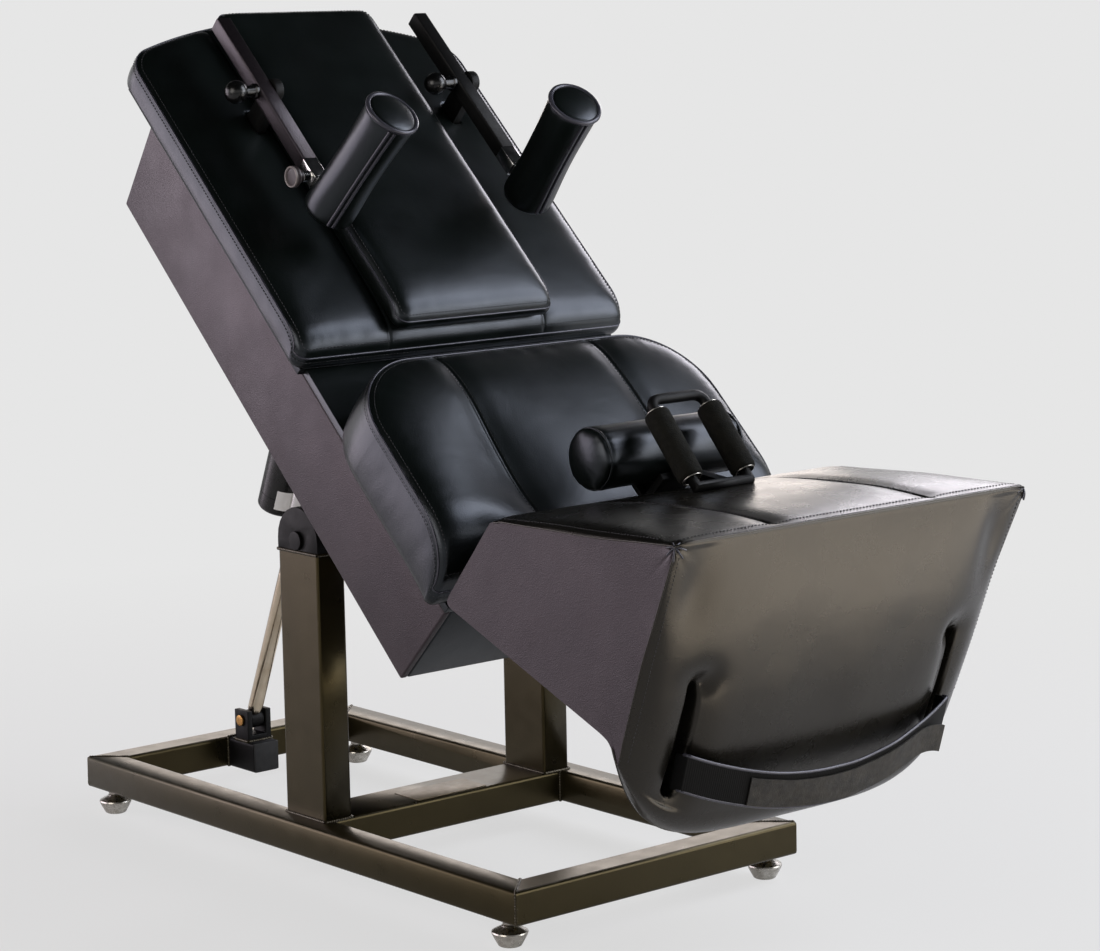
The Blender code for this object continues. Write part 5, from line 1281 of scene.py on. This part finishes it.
def postRipple(angle, height, radius):
    near = sum(math.exp(-abs(height - end) / post["foldRun"]) for end in post["foldAt"])
    fold = post["folds"] * near * wave(angle * 2.6, height / 0.05, 3.1)
    slack = post["slack"] * wave(math.cos(angle) * 1.4, height / 0.06 + math.sin(angle), 7.7)
    return (fold + slack) * (radius > post["rippleFrom"])


def postRadius(height, length):
    run = length - post["waistFrom"] - post["waistEnd"]
    share = min(max((height - post["waistFrom"]) / run, 0), 1)
    return post["radius"] - post["waist"] * math.sin(math.pi * share)


for side, sign in bothSides:
    lean = -sign * post["lean"]
    way = (outOfTable * math.cos(lean) + Vector((1, 0, 0)) * math.sin(lean)).normalized()
    foot = onTable(sign * post["railX"], post["s"], post["railN"]) + way * (post["foot"] - post["railN"])
    length = post["head"] - post["foot"]
    waist = np.linspace(post["waistFrom"], length - post["waistEnd"], post["waistSteps"])
    profile = post["base"] + [(postRadius(h, length), h) for h in waist]
    profile += raised(post["groove"], length, -1) + raised(post["dome"], length)
    sleeve = wrapped(side + "_post_cushion", foot, way, profile, post["sides"], postRipple,
                     "postVinyl", side + "_post")
    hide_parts(side + "_arm_post")
    first = way.orthogonal().normalized()
    second = way.cross(first)
    cap, reach = foot + way * (length - post["pipeDown"]), post["radius"] - post["pipeIn"]
    ring = [cap + (first * math.cos(t) + second * math.sin(t)) * reach
            for t in np.linspace(0, fullTurn, post["sides"], endpoint=False)]
    # the cap's rim takes the piping vinyl, whose lighter grey is a painted highlight
    tubes(side + "_post_cap_piping", [ring], post["pipe"], "piping", side + "_post", closed=True)
    # the cover closes with a lapped flap along its lower side
    aside, along = post["laps"][side]
    seamWay = (Vector((aside, 0, 0)) + alongTable * along).normalized()
    seamWay = (seamWay - way * seamWay.dot(way)).normalized()
    across = way.cross(seamWay)
    for edge, turn in (("front", -post["lapTurn"]), ("back", post["lapTurn"])):
        out = seamWay * math.cos(turn) + across * math.sin(turn)
        heights = np.linspace(post["lapEnds"][0], length - post["lapEnds"][1], post["lapSteps"])
        line = [foot + way * h + out * (postRadius(h, length) + post["lapOff"]) for h in heights]
        # the lap's edges take the piping vinyl, whose lighter grey is a painted highlight
        tubes(side + "_post_" + edge + "_lap", [line], post["lap"], "piping", side + "_post")
print("bolster, grips and posts made")


# Knobs, pins, feet and the actuator's motor

ballKnob = {
    "s": 0.558, "radius": 0.018, "stand": 0.036, "neck": 0.009, "neckDrop": 0.0012, "topTurn": 0.12, "turns": 22,
    "rail": 0.0254, "gap": 0.0003, "bracket": 0.015,
    "flange": [(0.010, 0.006), (0.0122, 0.0045), (0.0122, 0.0006), (0.005, 0.0004)],
    "boltEnd": [(0.005, 0.004), (0.004, 0.005), (0, 0.005)],
}


def leftBallKnob():
    face = ballKnob["rail"] / 2
    back = -face - ballKnob["gap"] - ballKnob["bracket"]
    ball, reach, neck = face + ballKnob["stand"], ballKnob["radius"], ballKnob["neck"]
    neckTurn = math.acos(neck / reach)
    turns = np.linspace(math.pi / 2 - ballKnob["topTurn"], -neckTurn, ballKnob["turns"])
    profile = [(0, ball + reach)] + [(reach * math.cos(t), ball + reach * math.sin(t)) for t in turns]
    profile.append((neck, ball - reach * math.sin(neckTurn) - ballKnob["neckDrop"]))
    profile += raised(ballKnob["flange"], face) + raised(ballKnob["boltEnd"], back, -1)
    middle = onTable(-post["railX"], ballKnob["s"], post["railN"])
    return lathe("left_ball_knob", profile, middle, (-1, 0, 0), "knob", "left_knob")


leftKnob = leftBallKnob()
rightKnob = again(leftKnob, "right_ball_knob", (2 * post["railX"], 0, 0), "knob", "right_knob")
for side, knob in (("left", leftKnob), ("right", rightKnob)):
    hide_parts(side + "_rail_knob")

popPin = {
    "s": 0.379, "barrelEnd": 0.0247, "gap": 0.0003, "length": 0.020, "sides": 40,
    "pin": [(0, 0.0105), (0.004, 0.0105)],
    # up from the barrel's end, then down from the knob's
    "shell": [(0.004, 0), (0.0085, 0), (0.010, 0.002), (0.010, 0.006), (0.0145, 0.0095), (0.0165, 0.012)],
    "bowl": [(0.0165, 0.0042), (0.0157, 0.0030), (0.0130, 0.0030), (0, 0.0045)],
    "rim": [(0.0131, 0.0040), (0.0159, 0.0036), (0.0161, 0.0010), (0.0151, 0), (0.0135, 0.0006), (0.0131, 0.0040)],
    "face": [(0, 0.0024), (0.0095, 0.0020), (0.0127, 0.0026), (0.0129, 0.0034), (0, 0.0040)],
}
for side, sign in bothSides:
    start = popPin["barrelEnd"] + popPin["gap"]
    end = start + popPin["length"]
    middle, way = onTable(sign * post["railX"], popPin["s"], post["railN"]), (sign, 0, 0)
    profile = popPin["pin"] + raised(popPin["shell"], start) + raised(popPin["bowl"], end, -1)
    knob = lathe(side + "_pop_pin_knob", profile, middle, way, "knobFace", side + "_pin", popPin["sides"], 35)
    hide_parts(side + "_pop_pin")
    for part, kind in (("rim", "ring"), ("face", "knobFace")):
        profile = raised(popPin[part], end, -1)
        lathe(side + "_pop_pin_" + part, profile, middle, way, kind, side + "_pin", popPin["sides"])

leveller = {
    # a bell that widens upwards, with a sloping shoulder under the nut
    "bell": [(0, 0), (0.0150, 0), (0.0170, 0.0012), (0.0230, 0.0120), (0.0257, 0.0175), (0.0265, 0.0200),
             (0.0258, 0.0218), (0.0205, 0.0250), (0.0130, 0.0282), (0.0118, 0.0300), (0.006, 0.0306)],
    "crest": 0.006, "root": 0.0054, "pitch": 0.0018, "threadFrom": 0.0310, "threadEnd": 0.002,
    "tip": [(0.005, 0), (0, 0)],
    "nut": 0.0115, "nutHeight": 0.008, "nutTop": 0.0396, "nutTurn": 0.3, "nutEdge": 0.0008,
}
feet = ("front_left_foot", "front_right_foot", "rear_left_foot", "rear_right_foot")


def footBase(node):
    low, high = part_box(node)
    return Vector(((low.x + high.x) / 2, (low.y + high.y) / 2, 0))


def firstLeveller(node):
    base, top = footBase(node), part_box(node)[1].z
    profile = list(leveller["bell"])
    level = leveller["threadFrom"]
    while level < top - leveller["threadEnd"]:
        profile += [(leveller["root"], level), (leveller["crest"], level + leveller["pitch"] / 2)]
        level += leveller["pitch"]
    profile += raised(leveller["tip"], top)
    bell = lathe(node + "_leveller", profile, base, (0, 0, 1), "zinc", node, smooth=35)
    bpy.ops.object.select_all(action="DESELECT")
    bpy.ops.mesh.primitive_cylinder_add(
        vertices=6, radius=leveller["nut"], depth=leveller["nutHeight"],
        location=(base.x, base.y, leveller["nutTop"] - leveller["nutHeight"] / 2),
        rotation=(0, 0, leveller["nutTurn"]))
    nut = bpy.context.object
    nut.name = node + "_jam_nut"
    bpy.ops.object.transform_apply(location=True, rotation=True, scale=True)
    eased(nut, leveller["nutEdge"], 2, 30)
    return bell, finish(nut, "zinc", node)


bell, nut = firstLeveller(feet[0])
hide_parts(feet[0])
for node in feet[1:]:
    shift = footBase(node) - footBase(feet[0])
    piece = again(bell, node + "_leveller", shift, "zinc", node)
    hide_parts(node)
    again(nut, node + "_jam_nut", shift, "zinc", node)

rod = {
    "foot": Vector(joints["rod_swing"]["pos_m"]), "way": -Vector(joints["actuator_stroke"]["axis"]).normalized(),
    "radius": 0.0125, "length": 0.360, "barrel": (0.030, 0.358, 8),
    "neck": [(0, 0.0125), (0.0085, 0.0125), (0.0113, 0.0165), (0.0125, 0.0195)], "tip": [(0.0115, 0), (0, 0)],
    "eye": [(0.0062, -0.0127), (0.0145, -0.0127), (0.0160, -0.0112), (0.0160, 0.0112), (0.0145, 0.0127),
            (0.0062, 0.0127), (0.0062, -0.0127)],
}
shaft = rod["neck"] + [(rod["radius"], h) for h in np.linspace(*rod["barrel"])] + raised(rod["tip"], rod["length"])
piece = lathe("actuator_rod_shaft", shaft, rod["foot"], rod["way"], "rod", "actuator_rod")
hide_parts("actuator_rod")
lathe("actuator_rod_eye", rod["eye"], rod["foot"], (1, 0, 0), "darkPaint", "actuator_rod", 40)

motorCan = {
    "low": Vector((0, 0.5770, 0.4975)), "radius": 0.036, "length": 0.2250, "round": 0.008,
    "joint": [(0.036, 0.030), (0.0354, 0.0304), (0.0354, 0.0316), (0.036, 0.032)], "barrel": (0.05, 0.221, 5),
    "lid": [(0.034, 0), (0, 0)],
}
radius, easing = motorCan["radius"], motorCan["round"]
can = [(0, 0), (radius - easing, 0)]
can += [(radius - easing + easing * math.sin(t), easing - easing * math.cos(t))
        for t in np.linspace(0.15, math.pi / 2, 8)]
can += motorCan["joint"] + [(radius, h) for h in np.linspace(*motorCan["barrel"])]
can += raised(motorCan["lid"], motorCan["length"])
piece = lathe("actuator_motor_can", can, motorCan["low"], rod["way"], "housing", "actuator_body", 56)
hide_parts("actuator_motor")

label = {
    "facing": Vector((-0.40, -0.82, -0.34)), "width": 0.034, "low": 0.014, "high": 0.048, "off": 0.0004,
    "rows": 7, "columns": 13, "thick": 0.0003,
}
facing = (label["facing"] - rod["way"] * label["facing"].dot(rod["way"])).normalized()
across = rod["way"].cross(facing)
points = []
for h in np.linspace(label["low"], label["high"], label["rows"]):
    for t in np.linspace(-0.5, 0.5, label["columns"]) * label["width"] / radius:
        out = facing * math.cos(t) + across * math.sin(t)
        points.append(motorCan["low"] + rod["way"] * h + out * (radius + label["off"]))
sheet("actuator_blank_label", points, label["columns"], label["thick"], -1, "label", "actuator_body")

plug = {"smaller": 0.002, "thick": 0.003, "out": 0.0006, "edge": 0.0012}
stubLow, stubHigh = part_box("actuator_stub")
stubWide, stubTall = stubHigh.x - stubLow.x, stubHigh.z - stubLow.z
plugPlace = ((stubLow.x + stubHigh.x) / 2, stubLow.y - plug["out"], (stubLow.z + stubHigh.z) / 2)
plugSize = (stubWide - plug["smaller"], plug["thick"], stubTall - plug["smaller"])
finish(block("stub_end_plug", plugSize, plugPlace, plug["edge"]), "rubber", "base")
plate = {"size": (0.136, 0.062, 0.0012), "place": (0.009, 0.1705, 0.0915), "edge": 0.0004}
finish(block("cross_member_blank_plate", plate["size"], plate["place"], plate["edge"], segments=2), "plate", "base")

weld = {
    "radius": 0.0023, "pitch": 0.0042, "swell": 0.30, "step": 0.0010, "lumps": 0.30, "lumpSize": 0.011,
    "frameTop": 0.0912, "uprightTop": 0.5022,
    # inset and drop of the bead over a mitred corner, then its inset at the foot
    "corner": [(floorFrame["tube"], 0.0012), (0.0048, 0.0012), (0.0030, 0.0036)], "cornerFoot": (0.0026, 0.004),
}


def rippled(corners, number):
    corners = np.array(corners, float)
    run = runAlong(corners)
    bead = []
    for distance in np.arange(0, run[-1], weld["step"]):
        swell = 1 + weld["swell"] * abs(math.sin(math.pi * distance / weld["pitch"]))
        swell += weld["lumps"] * wave(distance / weld["lumpSize"], number * 3.1, 0.5)
        bead.append([*placesAt(distance, run, corners), swell])
    return bead


def roundFoot(node, level):
    low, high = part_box(node)
    corners = [(low.x, low.y), (high.x, low.y), (high.x, high.y), (low.x, high.y), (low.x, low.y)]
    return [(x, y, level) for x, y in corners]


def mitreLine(sx, sy):
    # over the top of a mitred corner and down its outer edge
    out, back = floorCorner(sx, sy), Vector((-sx, -sy, 0))
    steps = [(inset, floorFrame["high"].z - drop) for inset, drop in weld["corner"]]
    steps.append((weld["cornerFoot"][0], floorFrame["low"].z + weld["cornerFoot"][1]))
    return [out + back * inset + Vector((0, 0, level)) for inset, level in steps]


def buttLine(node, end):
    # the top and the two upright sides of a rail's end, where it meets the side rail
    low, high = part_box(node)
    x = low.x if end < 0 else high.x
    return [(x, low.y, low.z), (x, low.y, high.z), (x, high.y, high.z), (x, high.y, low.z)]


beads = [roundFoot(node, weld["frameTop"]) for node in ("left_upright", "right_upright")]
beads += [roundFoot(node, weld["uprightTop"]) for node in ("left_pivot_ear", "right_pivot_ear")]
beads.append(roundFoot("lower_clevis", weld["frameTop"]))
beads += [buttLine("cross_member", end) for end in (-1, 1)]
beads += [mitreLine(sx, sy) for sx in (-1, 1) for sy in (-1, 1)]
beads.append([(stubLow.x, stubHigh.y, stubLow.z), (stubLow.x, stubHigh.y, stubHigh.z),
              (stubHigh.x, stubHigh.y, stubHigh.z), (stubHigh.x, stubHigh.y, stubLow.z)])
beads = [rippled(corners, number) for number, corners in enumerate(beads)]
tubes("frame_weld_beads", beads, weld["radius"], "weld", "base", roundness=2, smooth=50, merge=1e-7)
print("knobs, feet, actuator and weld beads made")


# Closing line

print("scene built")
